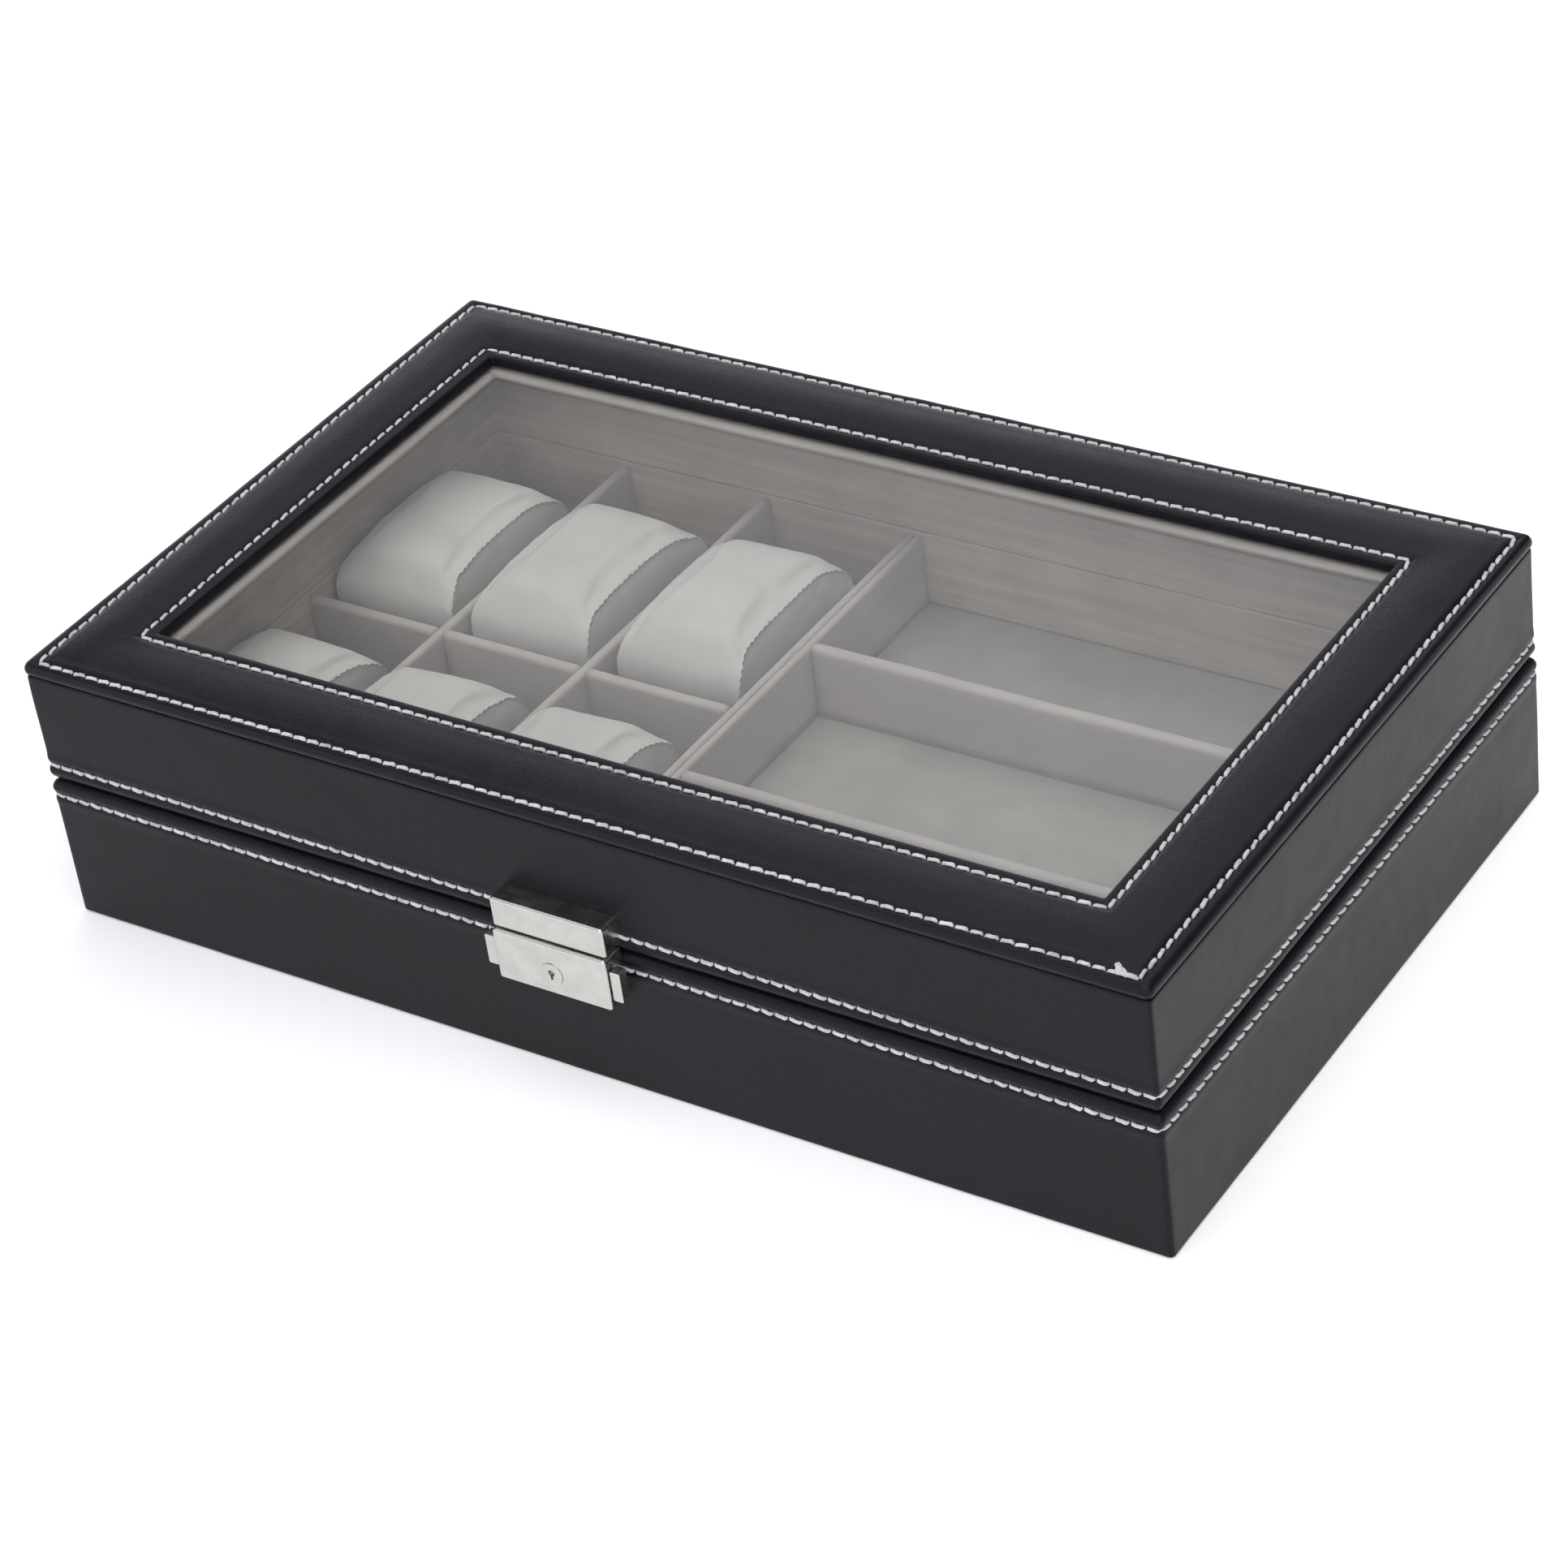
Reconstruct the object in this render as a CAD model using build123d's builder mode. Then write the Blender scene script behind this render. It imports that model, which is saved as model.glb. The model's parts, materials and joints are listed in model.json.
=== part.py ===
import os

from build123d import *

# Watch and glasses organizer box: fibreboard case wrapped in stitched leather-look
# sheet, glazed lid, velvet lined, six watch pockets with loose pillows on the left and
# three glasses compartments on the right. Millimetres, +Z up, origin at the centre of
# the resting face, front (catch) towards -Y, hinges towards +Y.

# ---------------------------------------------------------------- driving dimensions
length = 330.0            # outside, X
depth = 200.0             # outside, Y
height = 80.0             # outside, Z, lid closed
base_rim_z = 43.0         # top of the base rim
seam_gap = 0.3            # gap between the closed lid and the base
lid_rim_z = base_rim_z + seam_gap
leather_t = 0.8           # outer sheet
lining_t = 1.2            # velvet wall lining
wall_t = 10.0             # leather + board + lining
board_t = wall_t - leather_t - lining_t
corner_r = 1.8            # vertical outside corners
rim_r = 1.8               # rounded edge of the base rim
sheet_z = 0.4             # thickness of the bottom cover sheet
fold_w = 12.0             # leather turned under the bottom

inner_x = length / 2 - wall_t      # 155, lining faces
inner_y = depth / 2 - wall_t       # 90
board_x = length / 2 - leather_t   # 164.2, outside of the base boards
board_y = depth / 2 - leather_t    # 99.2
lin_x = inner_x + lining_t         # 156.2, inside of the boards
lin_y = inner_y + lining_t         # 91.2

bottom_t = 3.0
floor_z = 20.0            # top of the velvet floor
floor_t = 1.4
divider_top = 42.0

main_x0, main_x1 = -17.0, -12.0    # the double main divider
main_gap = 0.2
row_t = 3.5
col_t = 3.0
glass_div_t = 4.0
col_a, col_b = -110.4, -63.3       # centre lines of the column dividers
slot_mid = (floor_z + divider_top) / 2
glass_div_back_y, glass_div_front_y = 33.5, -29.2   # centre lines of the glasses dividers
end_play = 0.1

# lid
lid_inset = 0.4                    # lid wall leather stands in from the rolled top edge
lid_x = length / 2 - lid_inset
lid_y = depth / 2 - lid_inset
lid_board_x = lid_x - leather_t
lid_board_y = lid_y - leather_t
window_x = 139.5                   # half size of the window at the leather edge
window_y = 74.5
roll_r = 3.0                       # rolled top edge
roll_low_z = 76.2                  # lower edge of the rolled top leather
frame_z0, frame_z1 = 77.1, 78.6    # top frame boards
foam_t = 0.7
pane_t = 1.2
pane_z0 = frame_z0 - pane_t
keeper_z0 = 73.6                   # retainer strips under the pane
keeper_z1 = pane_z0
keeper_lip = 1.8                   # how far the strips show inside the window

# pillows
pillow_w, pillow_l, pillow_h = 42.6, 66.0, 31.2
pillow_r = 12.0
pillow_skin = 1.0
pillow_y_front = -48.5
pillow_y_back = 37.0
pillow_rest_z = floor_z + 0.2

# hinges
hinge_x = 105.0
hinge_len = 28.0
hinge_y = depth / 2 + 2.6
hinge_z = (base_rim_z + lid_rim_z) / 2
knuckle_r = 2.2
pin_r = 1.0
pin_play = 0.04
leaf_t = 0.8
leaf_y0 = 91.6
knuckle_len = 5.6
knuckle_play = 0.2
leaf_screw_r = 1.0
leaf_screw_x = (-9.5, 0.0, 9.5)
leaf_screw_y = 95.4

# catch
catch_w = 33.6
catch_z0 = 30.2
catch_z1 = 45.2
catch_front = -107.0
catch_wall = 1.0
plate_front = -106.0               # front of the plate on the lid
plate_z0, plate_z1 = 45.5, 54.2
back_plate_y = -depth / 2 - 0.8
plug_z = 36.5
plug_r = 3.2
plug_play = 0.06
slider_y0, slider_y1 = -104.7, -103.7
slider_z0, slider_z1 = 36.0, 41.0
slider_travel = 3.0
wing_x0, wing_x1 = catch_w / 2 + 0.4, catch_w / 2 + 3.3
wing_z0, wing_z1 = 33.2, 42.0
hook_y0, hook_y1 = -103.4, -101.9
hook_tip_z = 38.0
catch_screw_x = 12.0
catch_screw_z = 36.6

os.makedirs("parts", exist_ok=True)
made = []


def keep(builder, label):
    builder.part.label = label
    made.append(label)
    export_step(builder.part, "parts/" + label + ".step")


# ======================================================================= base boards
with BuildPart() as base_front_board:
    with BuildSketch(Plane.XY.offset(sheet_z + leather_t)):
        with Locations((0, -(board_y + lin_y) / 2)):
            Rectangle(2 * board_x, board_t)
    extrude(amount=base_rim_z - leather_t - sheet_z - leather_t)
    fillet(base_front_board.edges().filter_by(Axis.Z).group_by(Axis.Y)[0], 1.0)
    # pilot holes for the two screws of the catch
    with BuildSketch(Plane.XZ.offset(board_y)):
        with Locations((-catch_screw_x, catch_screw_z), (catch_screw_x, catch_screw_z)):
            Circle(0.9)
    extrude(amount=-6.0, mode=Mode.SUBTRACT)
keep(base_front_board, "base_front_board")

with BuildPart() as base_back_board:
    with BuildSketch(Plane.XY.offset(sheet_z + leather_t)):
        with Locations((0, (board_y + lin_y) / 2)):
            Rectangle(2 * board_x, board_t)
    extrude(amount=base_rim_z - leather_t - sheet_z - leather_t)
    fillet(base_back_board.edges().filter_by(Axis.Z).group_by(Axis.Y)[-1], 1.0)
    # pilot holes for the hinge screws
    with BuildSketch(Plane.XY.offset(base_rim_z - leather_t)):
        with Locations(*[(s * hinge_x + dx, leaf_screw_y) for s in (-1, 1) for dx in leaf_screw_x]):
            Circle(leaf_screw_r)
    extrude(amount=-9.0, mode=Mode.SUBTRACT)
keep(base_back_board, "base_back_board")

with BuildPart() as base_left_board:
    with BuildSketch(Plane.XY.offset(sheet_z + leather_t)):
        with Locations((-(board_x + lin_x) / 2, 0)):
            Rectangle(board_t, 2 * lin_y)
    extrude(amount=base_rim_z - leather_t - sheet_z - leather_t)
keep(base_left_board, "base_left_board")

with BuildPart() as base_right_board:
    with BuildSketch(Plane.XY.offset(sheet_z + leather_t)):
        with Locations(((board_x + lin_x) / 2, 0)):
            Rectangle(board_t, 2 * lin_y)
    extrude(amount=base_rim_z - leather_t - sheet_z - leather_t)
keep(base_right_board, "base_right_board")

with BuildPart() as base_bottom_board:
    with BuildSketch(Plane.XY.offset(sheet_z + leather_t)):
        Rectangle(2 * lin_x, 2 * lin_y)
    extrude(amount=bottom_t)
keep(base_bottom_board, "base_bottom_board")

# thin sheet that covers the folded edges underneath; the box rests on it
with BuildPart() as bottom_cover_sheet:
    with BuildSketch():
        RectangleRounded(length - 4, depth - 4, 3.0)
    extrude(amount=sheet_z)
keep(bottom_cover_sheet, "bottom_cover_sheet")

# outer leather: four sides, folded over the rim and 12 mm under the bottom
with BuildPart() as base_leather_wrap:
    with BuildSketch(Plane.XY.offset(sheet_z)):
        RectangleRounded(length, depth, corner_r)
    extrude(amount=base_rim_z - sheet_z)
    fillet(base_leather_wrap.faces().sort_by(Axis.Z)[-1].edges(), rim_r)
    fillet(base_leather_wrap.faces().sort_by(Axis.Z)[0].edges(), 0.8)
    with BuildSketch(Plane.XY.offset(sheet_z + leather_t)):
        Rectangle(2 * board_x, 2 * board_y)
    extrude(amount=base_rim_z - sheet_z - 2 * leather_t, mode=Mode.SUBTRACT)
    with BuildSketch(Plane.XY.offset(base_rim_z - 5)):
        Rectangle(2 * lin_x, 2 * lin_y)
    extrude(amount=10, mode=Mode.SUBTRACT)
    with BuildSketch(Plane.XY):
        Rectangle(length - 2 * fold_w, depth - 2 * fold_w)
    extrude(amount=5, mode=Mode.SUBTRACT)
    # recesses for the hinge leaves and holes for the catch screws
    with BuildSketch(Plane.XY.offset(base_rim_z - leaf_t)):
        with Locations((-hinge_x, 96.5), (hinge_x, 96.5)):
            Rectangle(hinge_len + 0.4, 12.0)
    extrude(amount=3, mode=Mode.SUBTRACT)
    with BuildSketch(Plane.XZ.offset(depth / 2 + 1)):
        with Locations((-catch_screw_x, catch_screw_z), (catch_screw_x, catch_screw_z)):
            Circle(1.0)
    extrude(amount=-3, mode=Mode.SUBTRACT)
keep(base_leather_wrap, "base_leather_wrap")

with BuildPart() as base_wall_lining:
    with BuildSketch(Plane.XY.offset(floor_z)):
        Rectangle(2 * lin_x, 2 * lin_y)
        Rectangle(2 * inner_x, 2 * inner_y, mode=Mode.SUBTRACT)
    extrude(amount=base_rim_z - floor_z)
keep(base_wall_lining, "base_wall_lining")

# light block that lifts the floor of the compartments
with BuildPart() as floor_riser:
    with BuildSketch(Plane.XY.offset(sheet_z + leather_t + bottom_t)):
        Rectangle(2 * lin_x - 1, 2 * lin_y - 1)
    extrude(amount=floor_z - floor_t - sheet_z - leather_t - bottom_t)
keep(floor_riser, "floor_riser")

with BuildPart() as floor_lining:
    with BuildSketch(Plane.XY.offset(floor_z - floor_t)):
        Rectangle(2 * lin_x - 0.2, 2 * lin_y - 0.2)
    extrude(amount=floor_t)
keep(floor_lining, "floor_lining")

# ========================================================================== dividers
half = (main_x1 - main_x0 - main_gap) / 2
with BuildPart() as main_divider_watch_side:
    with BuildSketch(Plane.XY.offset(floor_z)):
        with Locations((main_x0 + half / 2, 0)):
            Rectangle(half, 2 * (inner_y - end_play))
    extrude(amount=divider_top - floor_z)
    fillet(main_divider_watch_side.faces().sort_by(Axis.Z)[-1].edges().filter_by(Axis.Y), 1.0)
keep(main_divider_watch_side, "main_divider_watch_side")

with BuildPart() as main_divider_glasses_side:
    with BuildSketch(Plane.XY.offset(floor_z)):
        with Locations((main_x1 - half / 2, 0)):
            Rectangle(half, 2 * (inner_y - end_play))
    extrude(amount=divider_top - floor_z)
    fillet(main_divider_glasses_side.faces().sort_by(Axis.Z)[-1].edges().filter_by(Axis.Y), 1.0)
keep(main_divider_glasses_side, "main_divider_glasses_side")

# row divider, slotted from the top where the column dividers cross
with BuildPart() as row_divider:
    with BuildSketch(Plane.XY.offset(floor_z)):
        with Locations(((-inner_x + main_x0) / 2, 0)):
            Rectangle(inner_x + main_x0 - 2 * end_play, row_t)
    extrude(amount=divider_top - floor_z)
    fillet(row_divider.faces().sort_by(Axis.Z)[-1].edges().filter_by(Axis.X), 1.3)
    with BuildSketch(Plane.XY.offset(slot_mid)):
        with Locations((col_a, 0), (col_b, 0)):
            Rectangle(col_t + 0.2, row_t + 2)
    extrude(amount=20, mode=Mode.SUBTRACT)
keep(row_divider, "row_divider")

# column dividers, slotted from below
with BuildPart() as column_divider_1:
    with BuildSketch(Plane.XY.offset(floor_z)):
        with Locations((col_a, 0)):
            Rectangle(col_t, 2 * (inner_y - end_play))
    extrude(amount=divider_top - floor_z)
    fillet(column_divider_1.faces().sort_by(Axis.Z)[-1].edges().filter_by(Axis.Y), 1.1)
    with BuildSketch(Plane.XY.offset(floor_z - 1)):
        with Locations((col_a, 0)):
            Rectangle(col_t + 2, row_t + 0.2)
    extrude(amount=slot_mid - floor_z + 1, mode=Mode.SUBTRACT)
keep(column_divider_1, "column_divider_1")

with BuildPart() as column_divider_2:
    with BuildSketch(Plane.XY.offset(floor_z)):
        with Locations((col_b, 0)):
            Rectangle(col_t, 2 * (inner_y - end_play))
    extrude(amount=divider_top - floor_z)
    fillet(column_divider_2.faces().sort_by(Axis.Z)[-1].edges().filter_by(Axis.Y), 1.1)
    with BuildSketch(Plane.XY.offset(floor_z - 1)):
        with Locations((col_b, 0)):
            Rectangle(col_t + 2, row_t + 0.2)
    extrude(amount=slot_mid - floor_z + 1, mode=Mode.SUBTRACT)
keep(column_divider_2, "column_divider_2")

with BuildPart() as glasses_divider_back:
    with BuildSketch(Plane.XY.offset(floor_z)):
        with Locations(((main_x1 + inner_x) / 2, glass_div_back_y)):
            Rectangle(inner_x - main_x1 - 2 * end_play, glass_div_t)
    extrude(amount=divider_top - floor_z)
    fillet(glasses_divider_back.faces().sort_by(Axis.Z)[-1].edges().filter_by(Axis.X), 1.6)
keep(glasses_divider_back, "glasses_divider_back")

with BuildPart() as glasses_divider_front:
    with BuildSketch(Plane.XY.offset(floor_z)):
        with Locations(((main_x1 + inner_x) / 2, glass_div_front_y)):
            Rectangle(inner_x - main_x1 - 2 * end_play, glass_div_t)
    extrude(amount=divider_top - floor_z)
    fillet(glasses_divider_front.faces().sort_by(Axis.Z)[-1].edges().filter_by(Axis.X), 1.6)
keep(glasses_divider_front, "glasses_divider_front")

# =========================================================================== pillows
pocket_x = [(-inner_x + col_a - col_t / 2) / 2, (col_a + col_b) / 2, (col_b + col_t / 2 + main_x0) / 2]
pillow_spots = [(x, pillow_y_back) for x in pocket_x] + [(x, pillow_y_front) for x in pocket_x]
for n, (px, py) in enumerate(pillow_spots, start=1):
    pz = pillow_rest_z + pillow_h / 2
    # room inside the cover
    with BuildPart() as pillow_room:
        with BuildSketch(Plane(origin=(px - pillow_w / 2 + pillow_skin, py, pz), x_dir=(0, 1, 0), z_dir=(1, 0, 0))):
            RectangleRounded(pillow_l - 2 * pillow_skin, pillow_h - 2 * pillow_skin, pillow_r - pillow_skin)
        extrude(amount=pillow_w - 2 * pillow_skin)
        fillet(pillow_room.faces().sort_by(Axis.X)[0].edges(), 2.0)
        fillet(pillow_room.faces().sort_by(Axis.X)[-1].edges(), 2.0)
    with BuildPart() as pillow_cover:
        with BuildSketch(Plane(origin=(px - pillow_w / 2, py, pz), x_dir=(0, 1, 0), z_dir=(1, 0, 0))):
            RectangleRounded(pillow_l, pillow_h, pillow_r)
        extrude(amount=pillow_w)
        fillet(pillow_cover.faces().sort_by(Axis.X)[0].edges(), 3.0)
        fillet(pillow_cover.faces().sort_by(Axis.X)[-1].edges(), 3.0)
        add(pillow_room.part, mode=Mode.SUBTRACT)
    keep(pillow_cover, "pillow_cover_%d" % n)
    core_in = pillow_skin + 0.2
    with BuildPart() as pillow_core:
        with BuildSketch(Plane(origin=(px - pillow_w / 2 + core_in, py, pz), x_dir=(0, 1, 0), z_dir=(1, 0, 0))):
            RectangleRounded(pillow_l - 2 * core_in, pillow_h - 2 * core_in, pillow_r - core_in)
        extrude(amount=pillow_w - 2 * core_in)
        fillet(pillow_core.faces().sort_by(Axis.X)[0].edges(), 2.0)
        fillet(pillow_core.faces().sort_by(Axis.X)[-1].edges(), 2.0)
    keep(pillow_core, "pillow_core_%d" % n)

# =============================================================================== lid
lid_board_t = lid_board_x - lin_x
wall_z0 = lid_rim_z + leather_t
with BuildPart() as lid_front_board:
    with BuildSketch(Plane.XY.offset(wall_z0)):
        with Locations((0, -(lid_board_y + lin_y) / 2)):
            Rectangle(2 * lid_board_x, lid_board_t)
    extrude(amount=frame_z0 - wall_z0)
    fillet(lid_front_board.edges().filter_by(Axis.Z).group_by(Axis.Y)[0], 1.0)
    # pilot holes for the screws of the hook
    with BuildSketch(Plane.XZ.offset(lid_board_y)):
        with Locations((-9.5, 50.2), (9.5, 50.2)):
            Circle(0.9)
    extrude(amount=-6.0, mode=Mode.SUBTRACT)
keep(lid_front_board, "lid_front_board")

with BuildPart() as lid_back_board:
    with BuildSketch(Plane.XY.offset(wall_z0)):
        with Locations((0, (lid_board_y + lin_y) / 2)):
            Rectangle(2 * lid_board_x, lid_board_t)
    extrude(amount=frame_z0 - wall_z0)
    fillet(lid_back_board.edges().filter_by(Axis.Z).group_by(Axis.Y)[-1], 1.0)
    with BuildSketch(Plane.XY.offset(wall_z0)):
        with Locations(*[(s * hinge_x + dx, leaf_screw_y) for s in (-1, 1) for dx in leaf_screw_x]):
            Circle(leaf_screw_r)
    extrude(amount=9.0, mode=Mode.SUBTRACT)
keep(lid_back_board, "lid_back_board")

with BuildPart() as lid_left_board:
    with BuildSketch(Plane.XY.offset(wall_z0)):
        with Locations((-(lid_board_x + lin_x) / 2, 0)):
            Rectangle(lid_board_t, 2 * lin_y)
    extrude(amount=frame_z0 - wall_z0)
keep(lid_left_board, "lid_left_board")

with BuildPart() as lid_right_board:
    with BuildSketch(Plane.XY.offset(wall_z0)):
        with Locations(((lid_board_x + lin_x) / 2, 0)):
            Rectangle(lid_board_t, 2 * lin_y)
    extrude(amount=frame_z0 - wall_z0)
keep(lid_right_board, "lid_right_board")

# flat frame round the window: two long and two short rails
frame_out_x = length / 2 - leather_t - 0.1
frame_out_y = depth / 2 - leather_t - 0.1
frame_in_x = window_x + leather_t
frame_in_y = window_y + leather_t
with BuildPart() as top_frame_long_rails:
    with BuildSketch(Plane.XY.offset(frame_z0)):
        with Locations((0, (frame_out_y + frame_in_y) / 2), (0, -(frame_out_y + frame_in_y) / 2)):
            Rectangle(2 * frame_out_x, frame_out_y - frame_in_y)
    extrude(amount=frame_z1 - frame_z0)
    chamfer(top_frame_long_rails.edges().filter_by(Axis.Z).group_by(Axis.Y)[0], 1.0)
    chamfer(top_frame_long_rails.edges().filter_by(Axis.Z).group_by(Axis.Y)[-1], 1.0)
keep(top_frame_long_rails, "top_frame_long_rails")

with BuildPart() as top_frame_short_rails:
    with BuildSketch(Plane.XY.offset(frame_z0)):
        with Locations(((frame_out_x + frame_in_x) / 2, 0), (-(frame_out_x + frame_in_x) / 2, 0)):
            Rectangle(frame_out_x - frame_in_x, 2 * frame_in_y)
    extrude(amount=frame_z1 - frame_z0)
keep(top_frame_short_rails, "top_frame_short_rails")

# thin foam that cushions the top leather
with BuildPart() as lid_top_foam:
    with BuildSketch(Plane.XY.offset(frame_z1)):
        RectangleRounded(length - 5.0, depth - 5.0, 1.5)
        Rectangle(2 * frame_in_x + 1, 2 * frame_in_y + 1, mode=Mode.SUBTRACT)
    extrude(amount=foam_t)
keep(lid_top_foam, "lid_top_foam")

# top leather: rolled over the outer edge, turned down inside the window
with BuildPart() as lid_top_leather:
    with BuildSketch(Plane.XY.offset(roll_low_z)):
        RectangleRounded(length, depth, roll_r + 0.2)
    extrude(amount=height - roll_low_z)
    fillet(lid_top_leather.faces().sort_by(Axis.Z)[-1].edges(), roll_r)
    fillet(lid_top_leather.faces().sort_by(Axis.Z)[0].edges(), 0.5)
    with BuildSketch(Plane.XY.offset(frame_z0)):
        Rectangle(2 * window_x, 2 * window_y)
    extrude(amount=10, mode=Mode.SUBTRACT)
    fillet(lid_top_leather.faces().sort_by(Axis.Z)[-1].inner_wires().edges(), 0.7)
    # board space
    with BuildSketch(Plane.XY.offset(roll_low_z - 1)):
        Rectangle(2 * (length / 2 - leather_t), 2 * (depth / 2 - leather_t))
    extrude(amount=frame_z0 - roll_low_z + 1, mode=Mode.SUBTRACT)
    with BuildSketch(Plane.XY.offset(frame_z0)):
        Rectangle(2 * (length / 2 - leather_t), 2 * (depth / 2 - leather_t))
        Rectangle(2 * frame_in_x, 2 * frame_in_y, mode=Mode.SUBTRACT)
    extrude(amount=frame_z1 - frame_z0, mode=Mode.SUBTRACT)
    with BuildSketch(Plane.XY.offset(frame_z1)):
        RectangleRounded(length - 4.6, depth - 4.6, 1.5)
        Rectangle(2 * frame_in_x + 0.6, 2 * frame_in_y + 0.6, mode=Mode.SUBTRACT)
    extrude(amount=foam_t, mode=Mode.SUBTRACT)
keep(lid_top_leather, "lid_top_leather")

with BuildPart() as lid_side_leather:
    with BuildSketch(Plane.XY.offset(lid_rim_z)):
        RectangleRounded(2 * lid_x, 2 * lid_y, corner_r)
    extrude(amount=roll_low_z - 0.05 - lid_rim_z)
    fillet(lid_side_leather.faces().sort_by(Axis.Z)[0].edges(), rim_r)
    with BuildSketch(Plane.XY.offset(wall_z0)):
        Rectangle(2 * lid_board_x, 2 * lid_board_y)
    extrude(amount=height, mode=Mode.SUBTRACT)
    with BuildSketch(Plane.XY.offset(lid_rim_z - 1)):
        Rectangle(2 * lin_x, 2 * lin_y)
    extrude(amount=5, mode=Mode.SUBTRACT)
    with BuildSketch(Plane.XY.offset(lid_rim_z - 1)):
        with Locations((-hinge_x, 96.5), (hinge_x, 96.5)):
            Rectangle(hinge_len + 0.4, 12.0)
    extrude(amount=1 + leaf_t, mode=Mode.SUBTRACT)
    with BuildSketch(Plane.XZ.offset(depth / 2 + 1)):
        with Locations((-9.5, 50.2), (9.5, 50.2)):
            Circle(1.0)
    extrude(amount=-3, mode=Mode.SUBTRACT)
keep(lid_side_leather, "lid_side_leather")

with BuildPart() as lid_wall_lining:
    with BuildSketch(Plane.XY.offset(lid_rim_z)):
        Rectangle(2 * lin_x, 2 * lin_y)
        Rectangle(2 * inner_x, 2 * inner_y, mode=Mode.SUBTRACT)
    extrude(amount=keeper_z0 - lid_rim_z)
keep(lid_wall_lining, "lid_wall_lining")

with BuildPart() as window_pane:
    with BuildSketch(Plane.XY.offset(pane_z0)):
        Rectangle(2 * (lin_x - 0.3), 2 * (lin_y - 0.3))
    extrude(amount=pane_t)
keep(window_pane, "window_pane")

keeper_x = window_x - keeper_lip
keeper_y = window_y - keeper_lip
with BuildPart() as pane_keeper_long_strips:
    with BuildSketch(Plane.XY.offset(keeper_z0)):
        with Locations((0, (lin_y - 0.1 + keeper_y) / 2), (0, -(lin_y - 0.1 + keeper_y) / 2)):
            Rectangle(2 * (lin_x - 0.1), lin_y - 0.1 - keeper_y)
    extrude(amount=keeper_z1 - keeper_z0)
keep(pane_keeper_long_strips, "pane_keeper_long_strips")

with BuildPart() as pane_keeper_short_strips:
    with BuildSketch(Plane.XY.offset(keeper_z0)):
        with Locations(((lin_x - 0.1 + keeper_x) / 2, 0), (-(lin_x - 0.1 + keeper_x) / 2, 0)):
            Rectangle(lin_x - 0.1 - keeper_x, 2 * keeper_y)
    extrude(amount=keeper_z1 - keeper_z0)
keep(pane_keeper_short_strips, "pane_keeper_short_strips")

# ============================================================================ hinges
base_knuckles = [-2 * knuckle_len, 0.0, 2 * knuckle_len]
lid_knuckles = [-knuckle_len, knuckle_len]
bored_r = pin_r + pin_play
pin_line = Plane(origin=(0, hinge_y, hinge_z), x_dir=(0, 1, 0), z_dir=(1, 0, 0))
for side, hx in (("left", -hinge_x), ("right", hinge_x)):
    with BuildPart() as base_leaf:
        with BuildSketch(Plane.XY.offset(base_rim_z - leaf_t)):
            with Locations((hx, (leaf_y0 + depth / 2) / 2)):
                RectangleRounded(hinge_len, depth / 2 - leaf_y0, 0.8)
            with Locations(*[(hx + k, (depth / 2 - 1 + hinge_y) / 2) for k in base_knuckles]):
                Rectangle(knuckle_len - knuckle_play, hinge_y - depth / 2 + 1)
        extrude(amount=leaf_t)
        for k in base_knuckles:
            with BuildSketch(pin_line.offset(hx + k - (knuckle_len - knuckle_play) / 2)):
                Circle(knuckle_r)
            extrude(amount=knuckle_len - knuckle_play)
        with BuildSketch(pin_line.offset(hx - hinge_len)):
            Circle(bored_r)
        extrude(amount=2 * hinge_len, mode=Mode.SUBTRACT)
        with Locations(*[(hx + dx, leaf_screw_y, base_rim_z) for dx in leaf_screw_x]):
            CounterSinkHole(radius=leaf_screw_r + 0.1, counter_sink_radius=1.9, depth=3, counter_sink_angle=90)
    keep(base_leaf, "hinge_base_leaf_" + side)

    with BuildPart() as lid_leaf:
        with BuildSketch(Plane.XY.offset(lid_rim_z)):
            with Locations((hx, (leaf_y0 + lid_y) / 2)):
                RectangleRounded(hinge_len, lid_y - leaf_y0, 0.8)
            with Locations(*[(hx + k, (lid_y - 1 + hinge_y) / 2) for k in lid_knuckles]):
                Rectangle(knuckle_len - knuckle_play, hinge_y - lid_y + 1)
        extrude(amount=leaf_t)
        for k in lid_knuckles:
            with BuildSketch(pin_line.offset(hx + k - (knuckle_len - knuckle_play) / 2)):
                Circle(knuckle_r)
            extrude(amount=knuckle_len - knuckle_play)
        with BuildSketch(pin_line.offset(hx - hinge_len)):
            Circle(bored_r)
        extrude(amount=2 * hinge_len, mode=Mode.SUBTRACT)
        with Locations(Plane(origin=(hx, leaf_screw_y, lid_rim_z), x_dir=(1, 0, 0), z_dir=(0, 0, -1))):
            with Locations(*[(dx, 0) for dx in leaf_screw_x]):
                CounterSinkHole(radius=leaf_screw_r + 0.1, counter_sink_radius=1.9, depth=3, counter_sink_angle=90)
    keep(lid_leaf, "hinge_lid_leaf_" + side)

# pins with a small head at each end, outside the knuckles
with BuildPart() as hinge_pins:
    for hx in (-hinge_x, hinge_x):
        with BuildSketch(pin_line.offset(hx - hinge_len / 2 - 0.2)):
            Circle(pin_r)
        extrude(amount=hinge_len + 0.4)
        with BuildSketch(pin_line.offset(hx - hinge_len / 2 - 0.8), pin_line.offset(hx + hinge_len / 2 + 0.1)):
            Circle(1.6)
        extrude(amount=0.7)
keep(hinge_pins, "hinge_pins")

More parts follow.
